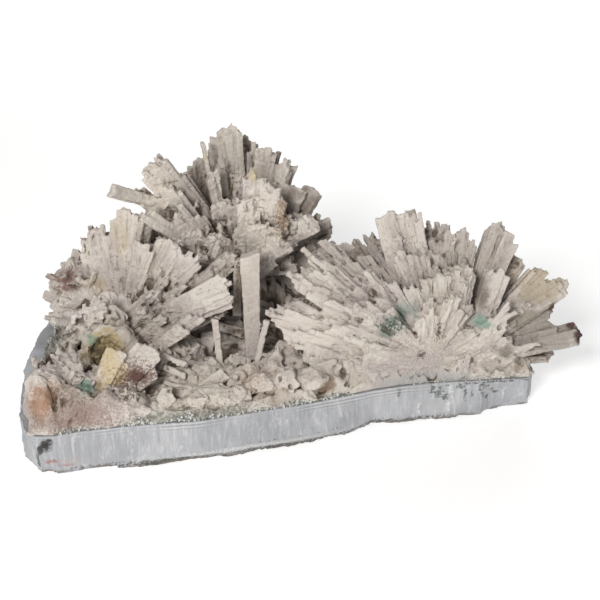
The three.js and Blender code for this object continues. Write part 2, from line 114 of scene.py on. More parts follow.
SLAB_LEFT_X, SLAB_RIGHT_X = -178, 151
SLAB_THICKNESS_LEFT, SLAB_THICKNESS_RIGHT = 27, 23.5
SLAB_STEP = 1.3  # spacing of the points along the slab's edge
RIM_WIDTH = 26  # how far the finely modelled rim reaches in over the top
SLAB_INSET = 0.6  # drawn in all round, so that the lumps stay near the outline
CHIPPED_SHARE = 0.16  # share of the height, from below, over which the edge is chipped
SAWN_LIMIT_Y, SAWN_LEFT_X = -33, -156  # the sawn front lies in front of the first and right of the second
BROKEN_END_X, BROKEN_END_RUN = 138, 8  # from this x on, over this length, the front turns lumpy too

# A small hole in the sawn front, at its left end.
HOLE_X, HOLE_Z = -150.5, 20.5
HOLE_HALF_WIDTH, HOLE_HALF_HEIGHT, HOLE_DEPTH = 3.4, 4.6, 5.5
HOLE_LIMIT_Y = -100  # it goes only into what lies in front of this

# The sawn front, from left to right: x, y of the top edge, y of the underside's edge.
SAWN_FRONT = [
    (-155, -108, -107), (-145, -107.5, -107), (-130, -102, -104), (-97, -95, -100), (-60, -89, -94),
    (-31, -80, -86), (0, -70, -78), (25, -60, -69), (47, -51, -52), (63, -46, -52), (82, -42, -47),
    (115, -38, -41), (121, -37, -33.5), (129, -36, -31), (146, -34, -26),
]

# The broken outline behind the front, from its right end around the back to its left end.
BROKEN_SIDES = [
    (149.5, -22), (143, 8), (126, 42), (92, 66), (40, 82), (-20, 95), (-80, 99),
    (-135, 83), (-168, 52), (-176, -5), (-174.5, -45), (-168.5, -84), (-160, -104),
]


def value_noise(points, seed):
    """Smooth repeatable noise from -1 to 1 at each point."""
    cell = np.floor(points).astype(np.int64)
    part = points - cell
    part = part * part * (3 - 2 * part)
    total = np.zeros(len(points))
    for corner in range(8):
        offset = np.array([corner & 1, corner >> 1 & 1, corner >> 2 & 1])
        at = cell + offset
        mixed = (at[:, 0] * 73856093) ^ (at[:, 1] * 19349663) ^ (at[:, 2] * 83492791) ^ (seed * 26544357)
        mixed = ((mixed ^ (mixed >> 13)) * 1274126177) & 0x7FFFFFFF
        mixed = ((mixed ^ (mixed >> 15)) * 668265263) & 0x7FFFFFFF
        weight = np.prod(np.where(offset == 1, part, 1 - part), axis=1)
        total += weight * ((mixed >> 8 & 0xFFFF) / 32767.5 - 1)
    return total


def slab_top(x):
    """Height of the slab's top face at x: it thins evenly from left to right."""
    share = (np.asarray(x) - SLAB_LEFT_X) / (SLAB_RIGHT_X - SLAB_LEFT_X)
    return SLAB_THICKNESS_LEFT + share * (SLAB_THICKNESS_RIGHT - SLAB_THICKNESS_LEFT)


def stations(outline, step):
    """Points about a step apart along a closed outline, as an array."""
    points = []
    for start, end in zip(outline, outline[1:] + outline[:1]):
        start, end = np.array(start, float), np.array(end, float)
        parts = max(1, round(float(np.hypot(*(end - start)[:2])) / step))
        points += [start + (end - start) * k / parts for k in range(parts)]
    return np.array(points)


def smooth_loop(values, times):
    """A closed row of values, each averaged with its neighbours a number of times."""
    for _ in range(times):
        values = (np.roll(values, 1, 0) + 2 * values + np.roll(values, -1, 0)) / 4
    return values


def slab_points():
    """Rings of the slab from the middle of the underside, up its sides, to the middle of its top."""
    outline = SAWN_FRONT + [(x, y, y) for x, y in BROKEN_SIDES]
    edge = smooth_loop(stations(outline, SLAB_STEP), 1)
    count = len(edge)
    length = np.arange(count) * SLAB_STEP
    sawn = smooth_loop((edge[:, 1] < SAWN_LIMIT_Y).astype(float) * (edge[:, 0] > SAWN_LEFT_X), 1)
    broken = np.maximum(1 - sawn, np.clip((edge[:, 0] - BROKEN_END_X) / BROKEN_END_RUN, 0, 1))
    rings = []
    for level in [0.0, 0.03, 0.07, 0.12] + list(np.linspace(0.17, 1.0, 18)):
        y = edge[:, 1] + (edge[:, 2] - edge[:, 1]) * (1 - level)
        flat = np.stack([edge[:, 0], y], 1)
        reach = np.hypot(flat[:, 0], flat[:, 1])[:, None]
        z = slab_top(edge[:, 0]) * level
        along = np.stack([length, z, np.zeros(count)], 1)
        # the lower edge is chipped away in bites, the broken sides are lumpy, the sawn front is nearly flat
        bite = np.clip(value_noise(along / [13, 60, 1], 3) + 0.25, 0, 1) * 4.6
        bite += np.abs(value_noise(along / 4, 4)) * 1.6 + np.abs(value_noise(along / 1.9, 12)) * 1.1
        chipped = bite * np.clip(1 - level / CHIPPED_SHARE, 0, 1) ** 0.7
        lumpy = value_noise(along / 15, 5) * 1.6 + value_noise(along / 5, 6) * 0.7
        lumpy += value_noise(along / 2.2, 7) * 0.3
        fibres = value_noise(along / [2.6, 30, 1], 8) * 0.25 + value_noise(along / [1.4, 9, 1], 9) * 0.12
        hole = (np.abs(flat[:, 0] - HOLE_X) / HOLE_HALF_WIDTH) ** 2 + ((z - HOLE_Z) / HOLE_HALF_HEIGHT) ** 2
        hollow = HOLE_DEPTH * np.clip(1.3 - hole - value_noise(along / 2, 11) * 0.4, 0, 1)
        hollow = hollow * (flat[:, 1] < HOLE_LIMIT_Y)
        inward = chipped + lumpy * broken + fibres + hollow + SLAB_INSET
        rings.append(np.column_stack([flat * (1 - inward[:, None] / reach), z]))
    top = rings[-1]
    for inset in (0.6, 1.6, 3, 4.6, 6.4, 8.4, 10.6, 13, 16, 20, RIM_WIDTH):
        reach = np.hypot(top[:, 0], top[:, 1])[:, None]
        flat = top[:, :2] * (1 - inset / reach)
        at = np.column_stack([flat, np.zeros(count)])
        sag = value_noise(at / 9, 10) * 0.25 - 0.3 * math.exp(-inset / 0.8)
        rings.append(np.column_stack([flat, slab_top(flat[:, 0]) + np.minimum(sag, 0.0)]))
    return rings


def ring_faces(rings):
    """Points and faces of a closed body through rings of equal point count, with flat ends."""
    count = len(rings[0])
    around = np.arange(count)
    after = (around + 1) % count
    faces = []
    for r in range(len(rings) - 1):
        low, high = r * count, (r + 1) * count
        faces += np.stack([low + around, low + after, high + after, high + around], 1).tolist()
    faces.append(around[::-1].tolist())
    faces.append((around + (len(rings) - 1) * count).tolist())
    return np.concatenate(rings), faces


slab = add_mesh("slab", *ring_faces(slab_points()))


def new_material(name):
    """A new node material, with its tree and its shader."""
    material = bpy.data.materials.new(name)
    material.use_nodes = True
    tree = material.node_tree
    shader = tree.nodes["Principled BSDF"]
    return material, tree, shader


def add_node(tree, kind, settings=None, **inputs):
    """One node. Settings are its own properties; inputs are its sockets, by name with underscores for spaces,
    or by number after an underscore."""
    node = tree.nodes.new(kind)
    for key, value in (settings or {}).items():
        setattr(node, key, value)
    for key, value in inputs.items():
        by_number = key[0] == "_"
        socket = node.inputs[int(key[1:]) if by_number else key.replace("_", " ")]
        if isinstance(value, bpy.types.NodeSocket):
            tree.links.new(value, socket)
        else:
            socket.default_value = value
    return node


def maths(tree, operation, a, b=0.0):
    """The result of one sum."""
    return add_node(tree, "ShaderNodeMath", {"operation": operation}, _0=a, _1=b).outputs[0]


def blend_colours(tree, share, a, b):
    """Colour a where share is 0, colour b where it is 1."""
    node = add_node(tree, "ShaderNodeMix", {"data_type": "RGBA"})
    for index, value in ((0, share), (6, a), (7, b)):
        if isinstance(value, bpy.types.NodeSocket):
            tree.links.new(value, node.inputs[index])
        else:
            node.inputs[index].default_value = value
    return node.outputs[2]


def noise(tree, vector, scale, detail=3.0, roughness=0.55, distortion=0.0):
    """Noise from 0 to 1 at a vector."""
    node = add_node(tree, "ShaderNodeTexNoise", {}, Vector=vector, Scale=scale, Detail=detail,
                    Roughness=roughness, Distortion=distortion)
    return node.outputs["Fac"]


def ramp(tree, value, low, high):
    """0 at low, 1 at high and a smooth rise in between. Low may be the larger of the two."""
    return add_node(tree, "ShaderNodeMapRange", {"interpolation_type": "SMOOTHSTEP"},
                    Value=value, From_Min=low, From_Max=high).outputs["Result"]


def lay_over(tree, colour, share, strength, over):
    """A colour with another one laid over it, as strongly as given, where share is 1."""
    return blend_colours(tree, maths(tree, "MULTIPLY", share, strength), colour, (*over, 1))


def finish_stone(tree, shader, colour, roughness, height, strength, distance):
    """Feeds a stone's shader: colour, roughness, and a bump from a height."""
    tree.links.new(colour, shader.inputs["Base Color"])
    shader.inputs["Roughness"].default_value = roughness
    bump = add_node(tree, "ShaderNodeBump", {}, Strength=strength, Distance=distance, Height=height)
    tree.links.new(bump.outputs["Normal"], shader.inputs["Normal"])


def place(tree, scale=(1, 1, 1)):
    """Object coordinates, stretched."""
    coordinates = add_node(tree, "ShaderNodeTexCoord").outputs["Object"]
    return add_node(tree, "ShaderNodeMapping", {}, Vector=coordinates, Scale=scale).outputs["Vector"]


def stain_and_light_group():
    """A ragged patch of colour around a point, for mineral stains and painted light and shade on both stones.
    """
    group = bpy.data.node_groups.new("stain", "ShaderNodeTree")
    sockets = (("Stone", "NodeSocketColor"), ("Stain", "NodeSocketColor"), ("Middle", "NodeSocketVector"),
               ("Spread", "NodeSocketVector"), ("Strength", "NodeSocketFloat"), ("Ragged", "NodeSocketFloat"))
    for name, kind in sockets:
        group.interface.new_socket(name, in_out="INPUT", socket_type=kind)
    group.interface.new_socket("Stone", in_out="OUTPUT", socket_type="NodeSocketColor")
    given = group.nodes.new("NodeGroupInput").outputs
    result = group.nodes.new("NodeGroupOutput")
    coordinates = add_node(group, "ShaderNodeTexCoord").outputs["Object"]
    # distance from the middle, in spreads, shifted by the noise that makes the edge ragged
    offset = add_node(group, "ShaderNodeVectorMath", {"operation": "SUBTRACT"},
                      _0=coordinates, _1=given["Middle"]).outputs[0]
    shares = add_node(group, "ShaderNodeVectorMath", {"operation": "DIVIDE"},
                      _0=offset, _1=given["Spread"]).outputs[0]
    far = add_node(group, "ShaderNodeVectorMath", {"operation": "LENGTH"}, _0=shares).outputs["Value"]
    shift = maths(group, "MULTIPLY", maths(group, "SUBTRACT", given["Ragged"], 0.5), 2.0)
    edge = maths(group, "ADD", far, shift)
    inside = maths(group, "SUBTRACT", 1.0, ramp(group, edge, 0.45, 1.1))
    share = maths(group, "MULTIPLY", inside, given["Strength"])
    group.links.new(blend_colours(group, share, given["Stone"], given["Stain"]), result.inputs["Stone"])
    return group


STAIN_AND_LIGHT = stain_and_light_group()


def stained_and_lit(tree, colour, stains, ragged):
    """A colour with patches of stain, and of painted light and shade, laid over it."""
    for stain, middle, spread, strength in stains:
        colour = add_node(tree, "ShaderNodeGroup", {"node_tree": STAIN_AND_LIGHT}, Stone=colour, Stain=(*stain, 1),
                          Middle=[v * 0.001 for v in middle], Spread=[v * 0.001 for v in spread],
                          Strength=strength, Ragged=ragged).outputs["Stone"]
    return colour


# Stains of the slab, and painted light and shade on it: colour, middle and spread in millimetres, strength.
SLAB_STAINS_AND_PAINTED_LIGHT = [
    # painted shade in the hole at the corner and beside it
    ((0.03, 0.026, 0.023), (HOLE_X, -105, HOLE_Z), (4, 9, 4.6), 1.0),
    ((0.035, 0.03, 0.027), (-147.8, -106, 23), (2.6, 9, 2.6), 0.9),
    ((0.035, 0.03, 0.027), (-153.4, -106, 17), (1.8, 9, 4), 0.9),
    # painted light: a paler top beside the crust, at the left
    ((0.60, 0.62, 0.66), (-174, -6, 29), (22, 90, 7), 0.85),
    # a warmer patch low on the front, near its left end
    ((0.40, 0.30, 0.26), (-137, -106, 8), (8, 8, 3), 0.3),
    # brown rind low on the front
    ((0.17, 0.145, 0.12), (-76, -94, 1.5), (34, 10, 2.6), 0.7),
    ((0.17, 0.145, 0.12), (-6, -74, 1.2), (40, 12, 2.4), 0.65),
    # a pale streak, and a pale lath held in the stone near the right end
    ((0.60, 0.60, 0.60), (66, -46, 15), (2, 8, 8), 0.4),
    ((0.42, 0.39, 0.38), (119.5, -38, 17), (4, 8, 4), 0.5),
]

# What is drawn in grains on the front: dark veins and pale wisps, most of them towards the right end, rust
# and rind. Colour, middle and spread in millimetres, strength.
VEIN, WISP = (0.05, 0.058, 0.052), (0.68, 0.68, 0.67)
RUST, RIND = (0.30, 0.09, 0.07), (0.055, 0.055, 0.045)
SLAB_VEINS = [
    (VEIN, (83.5, -42, 21.5), (2.4, 8, 3.2), 0.8), (VEIN, (88, -42, 18.5), (3.2, 8, 3.4), 0.7),
    (VEIN, (91.5, -42, 15), (2.2, 8, 2.6), 0.75), (VEIN, (101, -41, 21.5), (3, 8, 1.8), 0.7),
    (VEIN, (104.5, -41, 18), (1.2, 8, 5.5), 0.7), (VEIN, (108.5, -40, 16.5), (1, 8, 4.5), 0.7),
    (VEIN, (115, -38, 21.5), (2, 8, 1.1), 0.75), (VEIN, (118, -38, 19.3), (2, 8, 1.1), 0.75),
    (VEIN, (121, -38, 17), (2, 8, 1.1), 0.75), (VEIN, (124, -38, 14.6), (2, 8, 1.1), 0.75),
    (VEIN, (113.6, -38, 18), (1.5, 8, 1.6), 0.7), (VEIN, (116, -38, 15), (1.5, 8, 1.6), 0.7),
    (VEIN, (118.8, -38, 12), (1.8, 8, 1.4), 0.75), (VEIN, (62, -47, 21), (1.2, 8, 2.4), 0.6),
    (WISP, (95, -41, 20), (0.9, 8, 3.4), 0.7), (WISP, (96.4, -41, 14.5), (0.9, 8, 3.6), 0.7),
    (WISP, (94, -41, 8.5), (1.1, 8, 3.2), 0.7), (WISP, (75, -43.5, 9), (1.2, 8, 4), 0.6),
    (WISP, (129.5, -36, 12), (0.8, 8, 4), 0.6),
    # a crack down the left corner, with rust beside it
    (VEIN, (-155, -107, 11), (1.1, 3, 6), 0.8), (RUST, (-148.5, -107, 9), (4, 8, 1.3), 0.65),
    (RUST, (-140, -106, 5.5), (4, 8, 0.9), 0.45),
    # dark and pale grains in the lower rind, a dark line under the top at the right end
    (RIND, (-84, -94, 2), (44, 16, 2.4), 0.9), (RIND, (-18, -76, 2.6), (46, 20, 3.4), 0.95),
    (RIND, (56, -50, 1.6), (44, 20, 2.2), 0.85), (WISP, (-30, -80, 4.6), (60, 30, 1.4), 0.6),
    (RIND, (124, -37, 22.6), (26, 8, 0.9), 0.8),
]

TOP_AT_MIDDLE = 0.0251  # height of the slab's top at x = 0, in metres


def chalcedony():
    """Cool grey chalcedony: pale bands under the top, upright fibres and wisps, a brownish chipped rind."""
    material, tree, shader = new_material("banded_chalcedony")
    plain = place(tree)
    axes = add_node(tree, "ShaderNodeSeparateXYZ", {}, Vector=plain)
    x, z = axes.outputs["X"], axes.outputs["Z"]
    fibres = noise(tree, place(tree, (430, 430, 40)), 1.0, 4, 0.7)
    wisps = noise(tree, place(tree, (160, 160, 75)), 1.0, 4, 0.65, 0.8)
    clouds = noise(tree, plain, 30.0, 4, 0.6)
    colour = blend_colours(tree, ramp(tree, clouds, 0.36, 0.66),
                           (0.335, 0.34, 0.355, 1), (0.42, 0.425, 0.435, 1))
    colour = lay_over(tree, colour, ramp(tree, fibres, 0.5, 0.68), 0.6, (0.54, 0.545, 0.56))
    colour = lay_over(tree, colour, ramp(tree, fibres, 0.47, 0.3), 0.55, (0.26, 0.265, 0.285))
    colour = lay_over(tree, colour, ramp(tree, wisps, 0.57, 0.7), 0.5, (0.64, 0.64, 0.65))
    colour = stained_and_lit(tree, colour, SLAB_STAINS_AND_PAINTED_LIGHT, noise(tree, plain, 240.0, 3, 0.6))
    colour = stained_and_lit(tree, colour, SLAB_VEINS, ramp(tree, noise(tree, plain, 520.0, 3, 0.7), 0.25, 0.75))
    # depth under the top face, in metres, with a gentle wave
    slope = (SLAB_THICKNESS_RIGHT - SLAB_THICKNESS_LEFT) / (SLAB_RIGHT_X - SLAB_LEFT_X)
    top = maths(tree, "MULTIPLY_ADD", x, slope)
    top.node.inputs[2].default_value = TOP_AT_MIDDLE
    swing = maths(tree, "SUBTRACT", noise(tree, place(tree, (14, 14, 40)), 1.0), 0.5)
    wave = maths(tree, "MULTIPLY", swing, 0.0035)
    depth = maths(tree, "ADD", maths(tree, "SUBTRACT", top, z), wave)
    # pale and dark bands just under the top, in patches, which end towards the right
    upwards = add_node(tree, "ShaderNodeCombineXYZ", {}, Z=depth).outputs[0]
    bands = add_node(tree, "ShaderNodeTexWave",
                     {"wave_type": "BANDS", "bands_direction": "Z", "wave_profile": "SIN"},
                     Vector=upwards, Scale=150.0, Distortion=0.0).outputs["Fac"]
    shallow = maths(tree, "SUBTRACT", 1.0, ramp(tree, depth, 0.003, 0.0065))
    patches = ramp(tree, noise(tree, place(tree, (22, 22, 30)), 1.0), 0.34, 0.6)
    leftwards = maths(tree, "SUBTRACT", 1.0, ramp(tree, x, 0.05, 0.10))
    near_top = maths(tree, "MULTIPLY", maths(tree, "MULTIPLY", shallow, patches), leftwards)
    pale = maths(tree, "MULTIPLY", ramp(tree, bands, 0.6, 0.9), near_top)
    colour = lay_over(tree, colour, pale, 0.6, (0.60, 0.60, 0.59))
    dark = maths(tree, "MULTIPLY", ramp(tree, bands, 0.35, 0.1), near_top)
    colour = lay_over(tree, colour, dark, 0.5, (0.21, 0.21, 0.215))
    # the rind along the lower edge
    low = maths(tree, "SUBTRACT", 1.0, ramp(tree, z, 0.0006, 0.0032))
    rind = maths(tree, "MULTIPLY", low, ramp(tree, noise(tree, plain, 90.0, 4, 0.65), 0.4, 0.56))
    colour = lay_over(tree, colour, rind, 0.85, (0.15, 0.13, 0.11))
    height = maths(tree, "ADD", maths(tree, "MULTIPLY", fibres, 0.6), noise(tree, plain, 900.0, 3, 0.6))
    finish_stone(tree, shader, colour, 0.5, height, 0.35, 0.0006)
    return material


slab.data.materials.append(chalcedony())
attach(slab, "root")
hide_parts("chalcedony_slab")

# ---------------------------------------------------------------- white crust
# A continuous crust of sugary quartz, 5 to 50 mm thick, grown over the slab and up into the sprays. Its
# surface is knobbly, pitted and broken, and along the left it stops short of the slab's edge.

CRUST_STEP = 1.5  # spacing of the points along the crust's edge
CRUST_GAP = 0.35  # clear height between the slab's top and the quartz
CRUST_SETBACK = 1.7  # how far the crust's front stays behind the saw cut
CRUST_MIDDLE = (-8.0, -5.0)
CRUST_SKIN, CRUST_EDGE, CRUST_LEAST = 5, 3, 0.8  # thickness between mounds, at the outline, and at least
CRUST_STEEPNESS = 2.6  # rise over run at the outline
LEFT_STEEPNESS = 4.0  # added left of the next x, over the length after it
LEFT_START_X, LEFT_RUN = -96, 40
NO_HEART = (0, 0, -3000)  # far below everything, so that ridges run straight up
RAY_LINES = 40  # how fine the ridges are that run out from a heart

# The crust's outline behind the front, from its right end around the back to its left end.
CRUST_SIDES = [
    (147, -18), (141, 8), (122, 37), (90, 60), (38, 76), (-20, 89), (-80, 93),
    (-130, 76), (-156, 46), (-160, 22), (-160, -6), (-163, -36), (-169, -56), (-167, -82), (-155, -103),
]

# Mounds of the crust: x, y, radius, height over the slab.
MOUNDS = [
    # the left shoulder and the knobs on it
    (-158, 24, 20, 38), (-149, 34, 22, 45), (-135, 4, 24, 22), (-152, -24, 18, 15),
    (-130, -46, 22, 15), (-108, -78, 20, 9),
    # the wall that the saw went through at the left end
    (-152, -90, 17, 27), (-136, -92, 17, 23), (-152, -66, 16, 19), (-116, -88, 16, 14),
    # under the front left spray
    (-114, 2, 34, 33), (-84, -34, 30, 14),
    # under the back spray and the ridge that joins it to the right one
    (-38, 52, 36, 44), (-88, 44, 34, 30), (-10, 62, 36, 30), (30, 38, 34, 38),
    # low lumps along the front, between the sprays
    (-62, -64, 14, 7), (-40, -58, 15, 9), (-18, -50, 18, 10), (4, -44, 20, 7),
    # under the right spray
    (90, -22, 46, 26), (40, -14, 36, 24), (100, 16, 40, 20), (128, -16, 22, 7),
]

# Pits and caves in the crust: x, y, radius, depth.
CAVES = [
    (-164, -52, 9, 16), (-147, -8, 5, 12), (-139, -30, 5, 10), (-160, 18, 5, 9), (-88, -70, 6, 9),
    (-102, -84, 5, 8), (12, -58, 6, 12), (26, -52, 5, 8), (-58, -14, 16, 8), (-74, -52, 6, 7),
    (-30, -66, 5, 7),
]


def edge_distance(outline, x, y):
    """Distance of each point from a closed outline, positive inside it."""
    inside = np.zeros(x.shape, bool)
    nearest = np.full(x.shape, 1e9)
    for (ax, ay), (bx, by) in zip(outline, outline[1:] + outline[:1]):
        run_x, run_y = bx - ax, by - ay
        along = np.clip(((x - ax) * run_x + (y - ay) * run_y) / (run_x ** 2 + run_y ** 2), 0, 1)
        nearest = np.minimum(nearest, np.hypot(x - ax - along * run_x, y - ay - along * run_y))
        crosses = (ay > y) != (by > y)
        inside ^= crosses & (x < run_x * (y - ay) / (run_y or 1e-9) + ax)
    return np.where(inside, nearest, -nearest)


def crust_outline(setback):
    """The crust's closed outline, with its front some way behind the saw cut."""
    return [(x, y + setback) for x, y, _ in SAWN_FRONT] + CRUST_SIDES


def crust_height(x, y, inset):
    """Height of the crust over the slab's top."""
    mound = np.zeros(x.shape)
    for at_x, at_y, radius, height in MOUNDS:
        far = ((x - at_x) ** 2 + (y - at_y) ** 2) / radius ** 2
        mound = np.maximum(mound, height * np.exp(-far * 0.9))
    at = np.stack([x, y, np.zeros(x.shape)], 1)
    knobs = value_noise(at / 13, 21) * 3.4 + np.abs(value_noise(at / 6, 22)) * 4.4
    knobs += value_noise(at / 3, 23) * 1.2
    grain = value_noise(at / 1.7, 24) * 0.45
    pits = np.clip(value_noise(at / 7.5, 25) - 0.42, 0, 1) * 16
    for at_x, at_y, radius, depth in CAVES:
        far = ((x - at_x) ** 2 + (y - at_y) ** 2) / radius ** 2
        pits = np.maximum(pits, depth * np.clip(1.4 - far, 0, 1))
    steepness = CRUST_STEEPNESS + LEFT_STEEPNESS * np.clip((LEFT_START_X - x) / LEFT_RUN, 0, 1)
    body = np.minimum(CRUST_SKIN + mound, CRUST_EDGE + inset * steepness)
    return np.maximum(body + (knobs - pits) * np.clip(0.35 + mound / 20, 0, 1.15) + grain, CRUST_LEAST)


def crust_mesh():
    """Rings that shrink from the crust's outline to its middle, over a flat underside."""
    outline = crust_outline(CRUST_SETBACK)
    edge = smooth_loop(stations([(x, y, 0) for x, y in outline], CRUST_STEP), 1)[:, :2]
    middle = np.array(CRUST_MIDDLE)
    rings = [np.column_stack([edge, slab_top(edge[:, 0]) + CRUST_GAP])]
    for share in np.concatenate([np.linspace(1, 0.995, 2), np.linspace(0.985, 0.02, 84)]):
        flat = middle + (edge - middle) * share
        inset = edge_distance(outline, flat[:, 0], flat[:, 1])
        high = crust_height(flat[:, 0], flat[:, 1], np.maximum(inset, 0))
        rings.append(np.column_stack([flat, slab_top(flat[:, 0]) + CRUST_GAP + high]))
    return add_mesh("crust", *ring_faces(rings))


def read_points(mesh):
    """A mesh's points, in millimetres."""
    points = np.empty(len(mesh.vertices) * 3, np.float32)
    mesh.vertices.foreach_get("co", points)
    return points.reshape(-1, 3).astype(float) * 1000


def write_points(mesh, points):
    """Puts points, in millimetres, back into a mesh."""
    mesh.vertices.foreach_set("co", (points * 0.001).astype(np.float32).ravel())
    mesh.update()


def read_normals(mesh):
    """The normals at a mesh's points."""
    normals = np.empty(len(mesh.vertices) * 3, np.float32)
    mesh.vertex_normals.foreach_get("vector", normals)
    return normals.reshape(-1, 3).astype(float)


def box_blur(grid, reach):
    """Sum over a cube of cells around each cell."""
    for axis in range(3):
        total = np.cumsum(np.concatenate([np.zeros_like(grid.take([0], axis)), grid], axis), axis)
        size = grid.shape[axis]
        high = np.minimum(np.arange(size) + reach + 1, size)
        low = np.maximum(np.arange(size) - reach, 0)
        grid = total.take(high, axis) - total.take(low, axis)
    return grid


def directions(points, heart):
    """How far each point lies from a heart, and which way."""
    out = points - np.array(heart, float)
    far = np.linalg.norm(out, axis=1, keepdims=True)
    return far, out / np.maximum(far, 1)


def ray_noise(spread, far, run, seed):
    """Noise drawn out along the ways from a heart. Spread is each point's way times the fineness."""
    return value_noise(np.hstack([spread[:, :2], spread[:, 2:] + far / run]), seed)


def mark_hollows(piece, heart, lines=RAY_LINES):
    """Writes three attributes: hollow, how deep a point lies between its surroundings; line, the fine ridges
    that run out from a spray's heart; and tone, which differs from blade to blade."""
    mesh = piece.data
    points, normals = read_points(mesh), read_normals(mesh)
    low = points.min(0) - 2
    hollow = np.zeros(len(points))
    for cell, reach, weight in ((1.5, 1, 0.4), (3.0, 2, 0.6), (6.0, 2, 0.5), (9.0, 2, 0.5)):
        at = ((points - low) / cell).astype(int)
        shape = tuple(at.max(0) + 1)
        flat = np.ravel_multi_index(at.T, shape)
        sums = [np.bincount(flat, w, math.prod(shape)).reshape(shape) for w in (None, *points.T)]
        count, *middle = [box_blur(grid.astype(float), reach).ravel()[flat] for grid in sums]
        mean = np.stack(middle, 1) / np.maximum(count, 1)[:, None]
        hollow += weight * np.sum((mean - points) * normals, 1) / (cell * (reach + 0.5))
    far, ways = directions(points, heart)
    line = ray_noise(ways * lines * 1.5, far, 30, 71)
    tone = ray_noise(ways * 11, far, 90, 72)
    for name, values in (("hollow", hollow), ("line", line), ("tone", tone)):
        mesh.attributes.new(name, "FLOAT", "POINT").data.foreach_set("value", values.astype(np.float32))


def roughen(piece):
    """Knobs, holes and grain on the crust's outer face, also where it stands upright."""
    points = read_points(piece.data)
    outside = points[:, 2] > slab_top(points[:, 0]) + 1.2
    push = 1.1 * value_noise(points / 6, 31) + 0.7 * value_noise(points / 3, 32)
    push -= np.clip(value_noise(points / 4.2, 33) - 0.35, 0, 1) * 5
    points += read_normals(piece.data) * (push * outside)[:, None]
    front_x = [x for x, _, _ in SAWN_FRONT]
    front_y = [y + CRUST_SETBACK for _, y, _ in SAWN_FRONT]
    points[:, 1] = np.maximum(points[:, 1], np.interp(points[:, 0], front_x, front_y))
    points[:, 2] = np.maximum(points[:, 2], slab_top(points[:, 0]) + CRUST_GAP)
    write_points(piece.data, points)


crust = crust_mesh()
